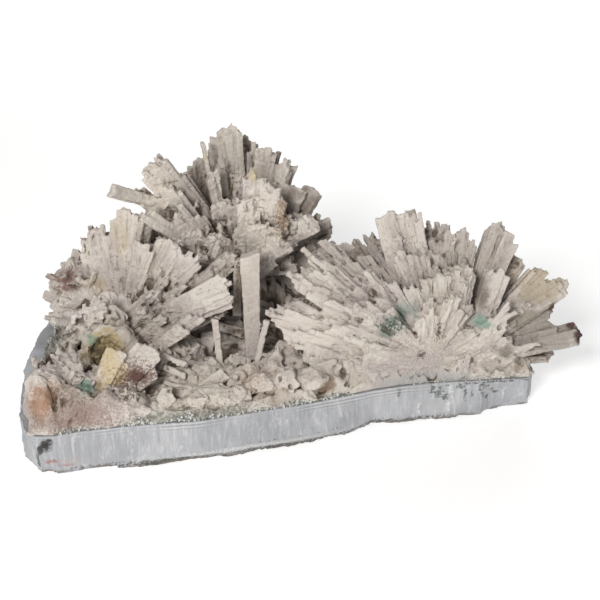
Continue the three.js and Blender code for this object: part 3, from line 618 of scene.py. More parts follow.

# Stains of the quartz, and painted light and shade on it: colour, middle and spread in millimetres, strength.
STAINS_AND_PAINTED_LIGHT = [
    # shade and brown dirt among the blades at the right end, and a clean lath there
    ((0.14, 0.115, 0.095), (156, -18, 46), (38, 30, 30), 0.5),
    ((0.27, 0.23, 0.17), (136, -22, 61), (14, 14, 8), 0.6),
    ((0.22, 0.15, 0.095), (139, -24, 31), (8, 12, 7), 0.75),
    ((0.10, 0.075, 0.055), (128, -30, 43), (5, 12, 6), 0.6),
    ((0.60, 0.55, 0.49), (146, -36, 46), (11, 6, 4), 0.8),
    # painted shade: broad darker patches on the left end, the front left spray, the crown and the right spray
    ((0.31, 0.255, 0.215), (-138, -90, 38), (34, 30, 18), 0.75),
    ((0.36, 0.32, 0.30), (-74, -22, 68), (30, 16, 14), 0.5),
    ((0.37, 0.33, 0.29), (-46, 40, 152), (13, 14, 24), 0.35),
    ((0.38, 0.34, 0.30), (92, -18, 84), (30, 18, 16), 0.3),
    # painted light on the middle plates, the column, the bundle and the blades over the hollow; a pale pointed
    # stub
    ((0.69, 0.63, 0.55), (-24, 10, 116), (18, 12, 26), 0.75),
    ((0.46, 0.41, 0.365), (-30, -18, 62), (10, 9, 46), 0.5),
    ((0.67, 0.61, 0.53), (-88, 4, 138), (24, 14, 18), 0.75),
    ((0.72, 0.66, 0.58), (4, -36, 60), (28, 18, 12), 0.6),
    ((0.72, 0.67, 0.60), (4, 18, 107), (9, 7, 8), 0.8),
    # grey-green and ochre along the foot of the front
    ((0.30, 0.31, 0.275), (-62, -88, 29), (44, 14, 5), 0.5),
    ((0.42, 0.35, 0.25), (-20, -64, 31), (22, 14, 6), 0.35),
    # the deep shade between the two left sprays
    ((0.11, 0.085, 0.065), (-50, 10, 70), (10, 26, 20), 0.75),
    # rust and painted shade in a hole on the sawn left wall, and its cleaner right end
    ((0.37, 0.21, 0.115), (-150, -103, 46), (12, 24, 11), 0.7),
    ((0.06, 0.035, 0.025), (-139, -100, 46), (3.4, 8, 5), 0.95),
    ((0.38, 0.30, 0.275), (-126, -100, 38), (18, 14, 9), 0.25),
    ((0.60, 0.545, 0.51), (-112, -96, 34), (13, 12, 6), 0.45),
    # red-brown and dark green on the left flank
    ((0.155, 0.07, 0.05), (-151, 7, 70), (16, 18, 4.2), 0.85),
    ((0.13, 0.145, 0.12), (-154, -32, 47), (9, 17, 11), 0.7),
    # the ochre and olive hollow, the yellow plate, red-brown on the pale one, teal beside them
    ((0.42, 0.33, 0.16), (-119, -52, 57), (17, 22, 13), 0.85),
    ((0.16, 0.135, 0.065), (-125, -54, 51), (8, 20, 7), 0.7),
    ((0.18, 0.32, 0.25), (-128, -52, 61), (7, 14, 4), 0.6),
    ((0.56, 0.445, 0.25), (-112, -76, 54), (11, 14, 21), 0.75),
    ((0.24, 0.15, 0.06), (-121, -76, 44), (4, 14, 12), 0.6),
    ((0.075, 0.03, 0.02), (-97, -74, 49), (9, 16, 4), 0.85),
    ((0.16, 0.30, 0.24), (-128, -87, 48), (7, 14, 5), 0.8),
    # painted shade in holes and a gap on both sides of them, and ochre over them
    ((0.06, 0.045, 0.035), (-91, -84, 39), (4, 12, 4.5), 0.8),
    ((0.07, 0.055, 0.045), (-157, -56, 44), (11, 16, 5), 0.75),
    ((0.10, 0.07, 0.05), (-78, -78, 32), (6, 10, 5), 0.6),
    ((0.50, 0.38, 0.20), (-131, 4, 70), (9, 12, 8), 0.35),
    # clean knobs on the left shoulder, clean plates on the front left spray
    ((0.68, 0.62, 0.55), (-136, 14, 88), (11, 12, 12), 0.75),
    ((0.72, 0.665, 0.625), (-134, -19, 65), (30, 28, 13), 0.8),
    ((0.66, 0.60, 0.555), (-68, -4, 101), (18, 20, 11), 0.5),
    # yellow on the upright blades and along the crown
    ((0.56, 0.48, 0.31), (-112, 2, 106), (7, 12, 19), 0.35),
    ((0.58, 0.45, 0.20), (-29, 12, 144), (4, 12, 5), 0.5),
    ((0.40, 0.29, 0.16), (-11, 16, 119), (5, 12, 15), 0.35),
    ((0.52, 0.46, 0.24), (-61, 20, 152), (4, 8, 6), 0.6),
    # painted shade on plates at the back and on the right spray
    ((0.19, 0.16, 0.13), (-65, 44, 122), (13, 12, 26), 0.55),
    ((0.19, 0.16, 0.13), (4, 40, 110), (18, 13, 22), 0.7),
    ((0.19, 0.16, 0.135), (44, 18, 90), (20, 14, 14), 0.5),
    ((0.14, 0.11, 0.085), (112, -20, 79), (6.5, 16, 17), 0.75),
    ((0.30, 0.265, 0.235), (-24, 54, 142), (26, 14, 22), 0.5),
    # painted shade in a cavity at the right end of the crust
    ((0.10, 0.08, 0.06), (138, -28, 36), (6, 10, 5), 0.75),
    # copper green on the right spray
    ((0.17, 0.31, 0.25), (112, -36, 62.5), (9, 12, 5), 0.75),
    ((0.26, 0.35, 0.30), (67, -40, 74), (8, 14, 6), 0.55),
    ((0.11, 0.155, 0.125), (58, -38, 68), (9, 12, 7), 0.8),
    ((0.14, 0.20, 0.16), (54, -40, 63), (8, 14, 6), 0.75),
    # greyer stone low on its sawn face, brown hollows at its left foot
    ((0.43, 0.385, 0.375), (68, -44, 32), (54, 14, 19), 0.6),
    ((0.37, 0.375, 0.365), (84, -44, 27), (52, 12, 5.5), 0.7),
    ((0.17, 0.10, 0.055), (15, -58, 33), (7, 9, 7), 0.8),
    ((0.10, 0.07, 0.05), (27, -52, 38), (3, 9, 3), 0.8),
    # brownish plates past the end of the slab, also darker as painted shade, a dark tip and dark cracks on
    # them
    ((0.41, 0.335, 0.225), (152, -10, 80), (24, 18, 17), 0.6),
    ((0.055, 0.028, 0.022), (177, -20, 48), (5.5, 10, 6), 0.95),
    ((0.10, 0.045, 0.03), (161, -14, 66), (6, 9, 5), 0.85),
    ((0.08, 0.03, 0.025), (172, -17, 53), (4, 8, 3), 0.9),
]

# Stains that lie in specks: colour, middle and spread in millimetres, strength.
SPECKS = [
    # red-brown on the pale plate, rust and red on the sawn left wall
    ((0.085, 0.03, 0.02), (-97, -75, 49), (13, 16, 8), 0.75),
    ((0.085, 0.03, 0.02), (-107, -80, 45), (5, 14, 4), 0.45),
    ((0.27, 0.11, 0.05), (-149, -104, 47), (8, 16, 12), 0.5),
    ((0.24, 0.10, 0.07), (-126, -98, 38), (20, 16, 9), 0.22),
    # brown and black in the ochre hollow and on the cracked edge of the middle plates
    ((0.15, 0.08, 0.03), (-117, -60, 51), (8, 16, 8), 0.65),
    ((0.05, 0.06, 0.04), (-124, -50, 50), (5, 14, 5), 0.5),
    ((0.20, 0.11, 0.05), (-11, 14, 112), (5, 12, 14), 0.75),
    # black-green in a crack of the right spray, and painted shade for two small holes in its sawn face
    ((0.015, 0.045, 0.033), (57, -38, 66), (7, 12, 4.5), 0.85),
    ((0.10, 0.075, 0.07), (75.3, -42, 45), (2.6, 8, 2), 1.0),
    ((0.07, 0.05, 0.04), (86, -42, 60.5), (2.2, 10, 5), 1.0),
    # dark green on the left flank and along the foot of the front
    ((0.06, 0.08, 0.065), (-158, -26, 42), (9, 20, 12), 0.75),
    ((0.10, 0.12, 0.10), (-50, -88, 29), (60, 14, 4), 0.6),
    ((0.16, 0.165, 0.15), (110, -40, 24), (40, 12, 3), 0.4),
    # brown and a little red on the sawn left wall
    ((0.16, 0.09, 0.05), (-133, -97, 50), (9, 14, 8), 0.5),
    ((0.22, 0.17, 0.14), (-128, -100, 36), (28, 14, 13), 0.35),
    ((0.24, 0.06, 0.05), (-124, -101, 33), (22, 14, 5), 0.2),
    # fine dirt on the sawn face
    ((0.25, 0.20, 0.175), (84, -42, 42), (44, 12, 16), 0.2),
    ((0.20, 0.15, 0.12), (128, -34, 33), (22, 12, 9), 0.2),
    # hints of ochre among the lumps in front
    ((0.30, 0.17, 0.09), (-26, -62, 40), (12, 12, 9), 0.4),
    ((0.30, 0.19, 0.12), (-60, -74, 30), (22, 14, 6), 0.4),
]


def sugary_quartz():
    """Matte cream-white quartz with a sugary grain, brown painted shade and dust in its hollows, and stains
    and painted light and shade in places.
    """
    material, tree, shader = new_material("sugary_quartz")
    plain = place(tree)
    hollow, line, tone = (add_node(tree, "ShaderNodeAttribute", {"attribute_name": name}).outputs["Fac"]
                          for name in ("hollow", "line", "tone"))
    clouds = noise(tree, plain, 20.0, 4, 0.6)
    patches = noise(tree, plain, 80.0, 4, 0.65)
    grains = noise(tree, plain, 620.0, 3, 0.75)
    speckle = noise(tree, plain, 330.0, 2, 0.6)
    colour = blend_colours(tree, ramp(tree, clouds, 0.38, 0.62),
                           (0.50, 0.445, 0.42, 1), (0.54, 0.485, 0.42, 1))
    # dark and pale blades, pale and dark patches, brown furrows and grains, white where it stands out
    layers = (
        (tone, 0.0, -0.55, 0.55, (0.37, 0.325, 0.29)),
        (tone, 0.05, 0.6, 0.6, (0.66, 0.61, 0.54)),
        (patches, 0.48, 0.72, 0.45, (0.62, 0.57, 0.505)),
        (patches, 0.46, 0.28, 0.4, (0.38, 0.33, 0.29)),
        (line, 0.05, 0.6, 0.35, (0.30, 0.24, 0.195)),
        (grains, 0.46, 0.28, 0.6, (0.25, 0.20, 0.16)),
        (speckle, 0.37, 0.27, 0.6, (0.20, 0.16, 0.13)),
        (hollow, -0.25, -0.75, 0.5, (0.66, 0.61, 0.55)),
    )
    for value, low, high, strength, over in layers:
        colour = lay_over(tree, colour, ramp(tree, value, low, high), strength, over)
    colour = stained_and_lit(tree, colour, STAINS_AND_PAINTED_LIGHT, patches)
    colour = stained_and_lit(tree, colour, SPECKS, ramp(tree, noise(tree, plain, 700.0, 4, 0.8), 0.30, 0.70))
    # painted shade and brown dust between the blades, darker the deeper the hollow
    colour = lay_over(tree, colour, ramp(tree, hollow, -0.12, 0.35), 0.92, (0.105, 0.072, 0.045))
    height = maths(tree, "ADD", maths(tree, "MULTIPLY", grains, 0.7), speckle)
    finish_stone(tree, shader, colour, 0.82, height, 0.8, 0.0007)
    return material


QUARTZ = sugary_quartz()


def finish_crystals(piece):
    """What every crystal piece shares: stone, body, the CAD node it stands for."""
    piece.data.materials.append(QUARTZ)
    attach(piece, "root")
    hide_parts("crystals")


roughen(crust)
mark_hollows(crust, NO_HEART)
finish_crystals(crust)

# ---------------------------------------------------------------- back spray
# The tallest spray, on the left half at the back, of white quartz. Its blades grew in every direction from a
# heart 37 mm over the slab: tall plates at the crown, a bundle leaning left, pointed blades at the right. Each
# is a sheaf of laths grown together, with a stepped, ragged end.

LATH_WIDTH = 2.6
BROAD_SIDE = (0, -0.9, 0.44)  # the way that a blade's broad face looks when its turn is 0
NEIGHBOUR_REACH = 36  # blades whose tips are nearer than this have others between them
FILL_DEPTH = 4  # how far those stand in front of or behind them
CRUMB_POINTS = 800  # a loose island of fewer points is dropped
SAW_SETBACK = 0.8  # how far every crystal stays behind the saw cut
PAST_END = (200, -30)  # past the slab's end the limit runs on to this x, y


def random_like(seed):
    """A repeatable source of random numbers."""
    return np.random.default_rng(seed)


def unit(vectors):
    """Vectors of length 1 that point the same way."""
    return vectors / np.maximum(np.linalg.norm(vectors, axis=-1, keepdims=True), 1e-9)


def bars(feet, tips, across, widths, thicknesses, foot_share, slants, leans):
    """Flat bars from feet to tips with slanting ends, as points and faces. Each argument has a row for every
    bar, but for foot_share, the width at the foot over the width at the tip."""
    along = unit(tips - feet)
    thick = unit(np.cross(across, along))
    wide = np.cross(along, thick)
    corners = []
    for end, width_share, thickness_share in ((0, foot_share, 1), (1, 1, 0.75)):
        for side, up in ((-1, -1), (1, -1), (1, 1), (-1, 1)):
            half_width = widths / 2 * width_share
            half_thick = thicknesses / 2 * thickness_share
            at = tips + along * (side * slants + up * leans)[:, None] if end else feet
            corners.append(at + wide * (side * half_width)[:, None] + thick * (up * half_thick)[:, None])
    points = np.stack(corners, 1).reshape(-1, 3)
    quads = np.array([(3, 2, 1, 0), (4, 5, 6, 7), (0, 1, 5, 4), (1, 2, 6, 5), (2, 3, 7, 6), (3, 0, 4, 7)])
    faces = (np.arange(len(feet))[:, None, None] * 8 + quads[None]).reshape(-1, 4)
    return points, faces


def sheaves(blades, seed, lath=LATH_WIDTH, ragged=1.0):
    """Every blade as a sheaf of laths, in rows across its width and layers through its thickness. Its end
    runs back from a peak towards both edges, in steps, and some laths are broken off lower. A blade's own
    sixth value goes before the shared raggedness."""
    rng = random_like(seed)
    front = np.array(BROAD_SIDE)
    rows = []
    for tip, foot, width, thickness, turn, *own in blades:
        rough = own[0] if own else ragged
        settled = min(1, 0.4 + rough)
        tip, foot = np.array(tip, float), np.array(foot, float)
        along = unit(tip - foot)
        length = np.linalg.norm(tip - foot)
        side = unit(np.cross(along, front))
        angle = math.radians(turn)
        across = side * math.cos(angle) + np.cross(along, side) * math.sin(angle)
        up = np.cross(across, along)
        count = max(1, round(width / (lath * (1 + 1.2 * max(0, 1 - rough)))))
        layers = max(1, round(thickness / (1.08 * lath)))
        peak = rng.uniform(-0.5, 0.5)
        drop = rng.uniform(0.15, 0.5) * width * rough
        steps = rng.choice([0, 0.6, 1.5, 3.0, 5.5], count) * rough
        backs = np.zeros((layers, count))
        for j in range(layers):
            rung = 0 if j == layers // 2 else rng.uniform(0, 7) * rough
            for i in range(count):
                u = 0 if count == 1 else 2 * i / (count - 1) - 1
                backs[j, i] = drop * abs(u - peak) ** 1.5 + steps[i] + rung + rng.uniform(0, 1.5) * rough
        backs -= backs.min()
        for j in range(layers):
            slip = rng.normal(0, 0.07) * width * settled
            for i in range(count):
                back = backs[j, i]
                if rng.random() < 0.14 * rough and count > 2:
                    back += length * rng.uniform(0.1, 0.35)
                shift = (i - (count - 1) / 2) * width / count + slip
                depth = (j - (layers - 1) / 2) * thickness / layers + rng.normal(0, 0.4)
                end = tip - along * back + across * shift + up * depth + rng.normal(0, 0.3, 3)
                start = foot + across * shift * 0.6 + up * depth * 0.8
                swell = 1 if count == 1 else rng.uniform(1.0, 1.35)
                lath_thickness = thickness / layers * rng.uniform(0.9, 1.4)
                slant = rng.normal(0, 0.26) * width / count * settled
                lean = rng.normal(0, 0.5)
                rows.append((start, end, across, width / count * swell, lath_thickness, slant, lean))
        # short splinters that stand off the faces of the blade
        for _ in range(round(length * width / 330 * rough)):
            share = rng.uniform(0.35, 0.9)
            aside = across * rng.uniform(-0.4, 0.4) * width * (0.6 + 0.4 * share)
            start = foot + (tip - foot) * share + aside
            way = unit(along + across * rng.normal(0, 0.35) + up * rng.normal(0, 0.35))
            reach = min(rng.uniform(5, 12), length * (1 - share))
            off = up * rng.choice([-1, 1]) * thickness * 0.6
            broad = unit(np.cross(way, rng.normal(0, 1, 3)))
            rows.append((start, start + way * reach + off, broad, rng.uniform(1.8, 4.5),
                         rng.uniform(1.4, 2.4), rng.normal(0, 0.6), rng.normal(0, 0.4)))
    feet, tips, across, widths, thicknesses, slants, leans = [np.array(column) for column in zip(*rows)]
    return bars(feet, tips, across, widths, thicknesses, 0.7, slants, leans)


def between(blades, seed, copies, shorten, clear):
    """Blades that fill a spray: each lies between two neighbouring blades and ends short of them. Clear gives
    the middle and radius of places that stay open."""
    rng = random_like(seed)
    tips = np.array([blade[0] for blade in blades], float)
    feet = np.array([blade[1] for blade in blades], float)
    made = []
    for i in range(len(blades)):
        far = np.linalg.norm(tips - tips[i], axis=1)
        for j in np.nonzero((far < NEIGHBOUR_REACH) & (np.arange(len(blades)) > i))[0]:
            for _ in range(copies):
                share = rng.uniform(0.2, 0.8)
                tip = tips[i] * (1 - share) + tips[j] * share
                foot = feet[i] * (1 - share) + feet[j] * share
                back = (foot - tip) * rng.uniform(*shorten)
                tip = tip + back + np.array([0, rng.uniform(-1, 1) * FILL_DEPTH, 0])
                if any(np.linalg.norm(tip - middle) < radius for middle, radius in clear):
                    continue
                made.append((tip, foot, rng.uniform(4, 9), rng.uniform(3, 6), rng.uniform(-50, 50)))
    return made


def stack(*parts):
    """Several sets of points and faces as one."""
    points, faces, base = [], [], 0
    for some_points, some_faces in parts:
        points.append(np.asarray(some_points, float))
        faces += [[int(corner) + base for corner in face] for face in some_faces]
        base += len(some_points)
    return np.concatenate(points), faces


def cores(bodies, seed, rows=9, around=14, swells=(0.82, 1.06)):
    """Dense uneven balls: middle and half sizes of each. Few rows make an angular chunk."""
    rng = random_like(seed)
    parts = []
    for middle, half in bodies:
        points, faces = [], []
        for r in range(rows + 1):
            for c in range(around):
                polar, turn = math.pi * r / rows, 2 * math.pi * c / around
                swell = rng.uniform(*swells)
                way = (math.sin(polar) * math.cos(turn), math.sin(polar) * math.sin(turn), math.cos(polar))
                points.append([m + h * w * swell for m, h, w in zip(middle, half, way)])
        for r in range(rows):
            for c in range(around):
                a, b = r * around + c, r * around + (c + 1) % around
                faces.append((a + around, b + around, b, a))
        parts.append((points, faces))
    return stack(*parts)


def loose_crumbs(mesh, fewest):
    """Numbers of the vertices in islands of fewer vertices than the given count."""
    count = len(mesh.vertices)
    edges = np.empty(len(mesh.edges) * 2, np.int32)
    mesh.edges.foreach_get("vertices", edges)
    a, b = edges.reshape(-1, 2).T
    island = np.arange(count)
    while True:
        least = np.minimum(island[a], island[b])
        joined = island.copy()
        np.minimum.at(joined, island[a], least)
        np.minimum.at(joined, island[b], least)
        joined = joined[joined]
        if np.array_equal(joined, island):
            break
        island = joined
    return np.nonzero(np.bincount(island, minlength=count)[island] < fewest)[0]


def fuse(name, points, faces, grain):
    """One closed skin around overlapping bodies, without crumbs that hang loose."""
    rough = add_mesh(name + "_rough", points, faces)
    remesh = rough.modifiers.new("fuse", "REMESH")
    remesh.mode = "VOXEL"
    remesh.voxel_size = grain * 0.001
    mesh = bpy.data.meshes.new_from_object(rough.evaluated_get(bpy.context.evaluated_depsgraph_get()))
    mesh.name = name
    crumbs = loose_crumbs(mesh, CRUMB_POINTS)
    if len(crumbs):
        work = bmesh.new()
        work.from_mesh(mesh)
        work.verts.ensure_lookup_table()
        bmesh.ops.delete(work, geom=[work.verts[i] for i in crumbs], context="VERTS")
        work.to_mesh(mesh)
        work.free()
    old = rough.data
    bpy.data.objects.remove(rough)
    bpy.data.meshes.remove(old)
    made = bpy.data.objects.new(name, mesh)
    bpy.context.scene.collection.objects.link(made)
    return made


def weather(piece, heart, seed, streak=0.55, knob=0.12, grain_depth=0.2, pit=1.8, lines=RAY_LINES, dents=()):
    """Ridges along the crystals, pits and sugary grain over everything; moves points along their normals.
    Dents are deeper holes: middle, radius and depth."""
    mesh = piece.data
    points, normals = read_points(mesh), read_normals(mesh)
    for middle, radius, depth in dents:
        near = 1 - np.sum((points - np.array(middle, float)) ** 2, 1) / radius ** 2
        points -= normals * (depth * np.clip(near + 0.3 * value_noise(points / 2, seed + 7), 0, 1))[:, None]
    far, ways = directions(points, heart)
    ridges = ray_noise(ways * lines, far, 50, seed)
    fine = ray_noise(ways * lines * 1.75, far, 22, seed + 1)
    pits = np.clip(value_noise(points / 3.0, seed + 5) - 0.5, 0, 1) * pit
    push = streak * (ridges * 0.5 + fine * 0.7) - pits
    push += knob * value_noise(points / 5.5, seed + 2)
    push += grain_depth * value_noise(points / 1.5, seed + 4)
    write_points(mesh, points + normals * push[:, None])


def keep_in(points, margin=0.0):
    """Moves points to stay just over the slab and behind the plane of the saw cut."""
    front_x = [x for x, _, _ in SAWN_FRONT] + [PAST_END[0]]
    front_y = [y + SAW_SETBACK for _, y, _ in SAWN_FRONT] + [PAST_END[1]]
    points = points.copy()
    points[:, 2] = np.maximum(points[:, 2], slab_top(points[:, 0]) + CRUST_GAP + margin)
    points[:, 1] = np.maximum(points[:, 1], np.interp(points[:, 0], front_x, front_y) + margin)
    return points


# Each crystal: tip, foot, width, thickness, turn about its length in degrees (0 shows the broad face in
# front) and, where it is not 1, how ragged it is.
BACK_SPRAY = [
    # the crown: tall plates with the broadest in the middle
    ((-48, 40, 166), (-40, 50, 80), 17, 8, 8),
    ((-57, 42, 158), (-46, 50, 84), 7, 5, 12),
    ((-33, 62, 151), (-36, 58, 78), 12, 6, -20),
    ((-30, 50, 151), (-35, 52, 84), 8, 6, 15),
    ((-22, 41, 151), (-30, 49, 80), 12, 7, -10, 0.6),
    ((-15, 54, 142), (-28, 54, 80), 7, 6, 35, 1.0),
    ((-9, 40, 144), (-25, 46, 78), 9, 6, -25, 1.0),
    ((-3, 47, 137), (-24, 48, 78), 8, 6, 15, 1.0),
    # the pale plates in the middle, stepped down to both sides
    ((-29.5, 13, 147), (-31, 26, 78), 12, 8, 3, 0.6),
    ((-24.5, 13, 139.5), (-28, 26, 78), 21, 8, -3, 0.45),
    ((-17.5, 15, 129), (-24, 28, 77), 20, 9, -6, 0.45),
    ((-11.5, 17, 118), (-20, 28, 77), 15, 9, -20, 0.5),
    ((-34.5, 9, 129), (-33, 20, 78), 11, 6, 3, 0.5),
    ((-24, 7, 113), (-28, 18, 78), 22, 7, 0, 0.4),
    # needles and thin plates at the left of the crown, a plate behind them that is painted dark as shade
    ((-61.5, 20, 162), (-53, 30, 104), 3, 3, 10, 0.3),
    ((-57, 22, 138), (-52, 30, 100), 5, 5, 10, 0.6),
    ((-54, 24, 142), (-50, 34, 96), 4, 4, 30, 0.6),
    ((-66, 44, 142), (-50, 48, 82), 24, 5, 5, 0.4),
    ((-54, 38, 140), (-46, 44, 90), 7, 5, 0),
    ((-55, 20, 120), (-46, 32, 92), 6, 5, 0),
    # the bundle that leans out to the left
    ((-90, 10, 156), (-48, 36, 84), 17, 8, 5),
    ((-97, 6, 149), (-54, 32, 84), 9, 6, 0),
    ((-84, 4, 140), (-53, 30, 84), 11, 6, -5),
    ((-80, 0, 128), (-54, 26, 82), 10, 7, 10, 0.7),
    ((-117, -4, 140), (-68, 28, 110), 7, 7, 0, 0.4),
    ((-104, 14, 133), (-58, 36, 84), 9, 6, 20),
    ((-94, 6, 131), (-56, 28, 82), 14, 7, 0),
    ((-96, -6, 125), (-60, 20, 84), 9, 8, 0, 0.6),
    # a broad pointed plate and stubs at the right
    ((-2.5, 36, 126), (-18, 38, 80), 14, 5, -5, 0.25),
    ((8.5, 38, 123.5), (-12, 40, 79), 12, 5, -12, 0.25),
    ((8.3, 14, 110.5), (-9, 26, 93), 12.5, 9, 0, 0.25),
    ((14.5, 48, 100), (-5, 46, 77), 6, 5, 0),
    ((20, 46, 97), (-5, 46, 77), 6, 5, 20),
    ((-2, 20, 100), (-22, 28, 82), 11, 7, 0, 0.6),
    ((21, 50, 92), (-20, 50, 66), 11, 7, -20),
    ((22, 44, 85), (-19, 46, 62), 13, 7, 10),
    ((-3, 18, 80), (-25, 36, 66), 11, 8, 0),
    # knobs in front of the heart
    ((-9, 6, 103), (-32, 24, 76), 15, 9, 0, 0.6),
    ((-16, 4, 92), (-30, 14, 72), 10, 8, 30, 0.6),
    ((-56, 4, 103), (-39, 30, 74), 15, 9, 10, 0.6),
    ((-74, 8, 104), (-44, 34, 72), 11, 8, 0),
    ((-66, 0, 92), (-44, 30, 68), 10, 9, 20),
]
BACK_HEART = (-38, 46, 62)
BACK_CORES = [((-38, 48, 84), (31, 22, 32)), ((-62, 30, 88), (18, 16, 18))]


def pointing(turn, lift):
    """The way that points at a turn about Z and a lift over the level, in radians."""
    return np.array([math.cos(turn) * math.cos(lift), math.sin(turn) * math.cos(lift), math.sin(lift)])


def crowd(heart, count, heading, rise, reach, seed):
    """Plainer blades in all directions of a sector: heading and rise in degrees, reach in millimetres."""
    rng = random_like(seed)
    made = []
    for _ in range(count):
        turn, lift = math.radians(rng.uniform(*heading)), math.radians(rng.uniform(*rise))
        foot = np.array(heart, float) + rng.normal(0, 5, 3)
        tip = foot + pointing(turn, lift) * rng.uniform(*reach)
        made.append((tip, foot, rng.uniform(6, 13), rng.uniform(4, 7), rng.uniform(-90, 90)))
    return made


def grow(name, parts, heart, seed, grain=0.85, lines=RAY_LINES, **weathering):
    """One weathered skin around overlapping laths and bodies."""
    points, faces = stack(*parts)
    piece = fuse(name, keep_in(points, 0.3), faces, grain)
    weather(piece, heart, seed, lines=lines, **weathering)
    write_points(piece.data, keep_in(read_points(piece.data)))
    mark_hollows(piece, heart, lines)
    finish_crystals(piece)


def spray(name, blades, heart, bodies, seed, copies=2, shorten=(0.22, 0.5), crowds=(), clear=()):
    """A whole spray: its named blades, the fill between them, crowds of plainer ones and its dense heart."""
    filling = between(blades, seed, copies, shorten, clear)
    parts = [sheaves(blades, seed + 1), sheaves(filling, seed + 2)]
    for number, sector in enumerate(crowds):
        parts.append(sheaves(crowd(seed=seed + 10 + number, **sector), seed + 20 + number))
    parts.append(cores(bodies, seed + 3))
    grow(name, parts, heart, seed + 4)


# Places that stay open between the crown, the bundle and the middle plates: middle, radius.
VALLEY = [
    ((-64, 30, 132), 20), ((-60, 26, 116), 14), ((-28, 46, 143), 8), ((-15, 46, 138), 9),
    ((-24, 20, 132), 16),
]
spray("back_spray", BACK_SPRAY, BACK_HEART, BACK_CORES, 100, clear=VALLEY)

# Its far side: plainer blades, a piece of their own.
BACK_REAR = {"heart": (-38, 50, 62), "count": 52, "heading": (28, 185), "rise": (12, 58), "reach": (46, 68)}
grow("back_spray_rear", [sheaves(crowd(seed=110, **BACK_REAR), 120)], BACK_HEART, 130, grain=1.05)

# ---------------------------------------------------------------- front left spray
# The spray at the front left, of the same quartz: an upright pair of blades, plates that open from it like a
# fan to the right, and low plates over the front edge. It grew out of the crust and is fused with it.

FRONT_LEFT_SPRAY = [
    # the upright pair and its neighbours
    ((-110, 2, 126), (-119, 10, 52), 12, 6, 0, 0.8),
    ((-101, -1, 123), (-113, 6, 52), 11, 6, -25, 0.8),
    ((-95, 4, 118), (-107, 10, 56), 7, 6, -55),
    ((-129, 8, 112), (-129, 14, 54), 11, 7, 10),
    ((-121, 4, 110), (-125, 10, 54), 7, 5, 0),
    ((-137, 16, 97), (-133, 18, 50), 10, 8, 0),
    # plates that open like a fan to the right
    ((-96, -12, 109), (-112, 0, 52), 13, 6, 0, 0.8),
    ((-81, -10, 110), (-107, -2, 48), 17, 6, 0, 0.8),
    ((-74, -6, 107), (-100, 0, 52), 7, 5, -40),
    ((-63, -14, 102), (-103, -4, 46), 17, 6, 0, 0.8),
    ((-54, -14, 89), (-98, -6, 48), 13, 6, 0),
    ((-41, -34, 86), (-110, -16, 43), 19, 6, 0),
    ((-82, -16, 76), (-113, -8, 52), 12, 8, 0),
    ((-46, -22, 70), (-92, -14, 40), 11, 6, 0),
    ((-61, -36, 71), (-98, -26, 38), 9, 6, 0),
    ((-70, -44, 67), (-100, -34, 38), 9, 7, 0),
    # the knobby blade between this spray and the back one
    ((-40, -8, 97), (-80, 2, 58), 11, 9, 10),
    # small blades at the left, and the pair that stands between this spray and the back one
    ((-134, 22, 105), (-131, 18, 58), 9, 6, 0),
    ((-138, 22, 97), (-134, 18, 56), 7, 6, 20),
    ((-123, 14, 104), (-124, 12, 60), 6, 5, 0),
    ((-97, 14, 108), (-100, 10, 62), 5, 5, 0),
    ((-92, 18, 100), (-98, 12, 60), 10, 8, -20),
    ((-84, 6, 104), (-100, 8, 60), 9, 6, 10),
    ((-78, 10, 92), (-98, 10, 56), 10, 7, 0),
    # the low plates over the front edge: a pale broad one, a yellow upright one, their neighbours
    ((-89, -64, 63), (-118, -80, 36), 18, 7, 0, 0.4),
    ((-110, -70, 65), (-123, -87, 40), 12.5, 5, 0, 0.3),
    ((-87, -58, 60), (-120, -54, 32), 14, 8, 0),
    ((-86, -70, 50), (-116, -78, 27), 10, 7, 0),
    ((-130, -54, 54), (-136, -60, 28), 9, 7, 20),
]
FRONT_LEFT_HEART = (-114, 2, 42)
FRONT_LEFT_CORES = [((-112, 10, 58), (17, 11, 20))]
FRONT_LEFT_CROWDS = [
    {"heart": (-112, -6, 46), "count": 12, "heading": (-60, 30), "rise": (20, 60), "reach": (24, 40)},
    {"heart": (-92, -12, 66), "count": 14, "heading": (-120, 30), "rise": (0, 70), "reach": (12, 20)},
    {"heart": (-128, -40, 32), "count": 14, "heading": (-40, 120), "rise": (20, 70), "reach": (18, 30)},
]
spray("front_left_spray", FRONT_LEFT_SPRAY, FRONT_LEFT_HEART, FRONT_LEFT_CORES, 200, copies=1,
      crowds=FRONT_LEFT_CROWDS)

# Its far side, and a tall blade that closes the view between the two left sprays.
FRONT_LEFT_REAR = {
    "heart": (-114, 10, 42), "count": 26, "heading": (50, 210), "rise": (18, 66), "reach": (40, 56),
}
FRONT_LEFT_TALL = [((-90, 24, 113), (-112, 12, 46), 13, 7, 0, 0.5)]
rear_parts = [sheaves(crowd(seed=210, **FRONT_LEFT_REAR), 220), sheaves(FRONT_LEFT_TALL, 221)]
grow("front_left_spray_rear", rear_parts, FRONT_LEFT_HEART, 230, grain=1.05)

# ---------------------------------------------------------------- right spray
# The broad spray on the right, of the same quartz: tall plates at the back, long blades to the left over the
# hollow, browner plates past the end of the slab. It grew from the crust; the saw cut off its foot in front.

RIGHT_HEART = (92, -32, 36)

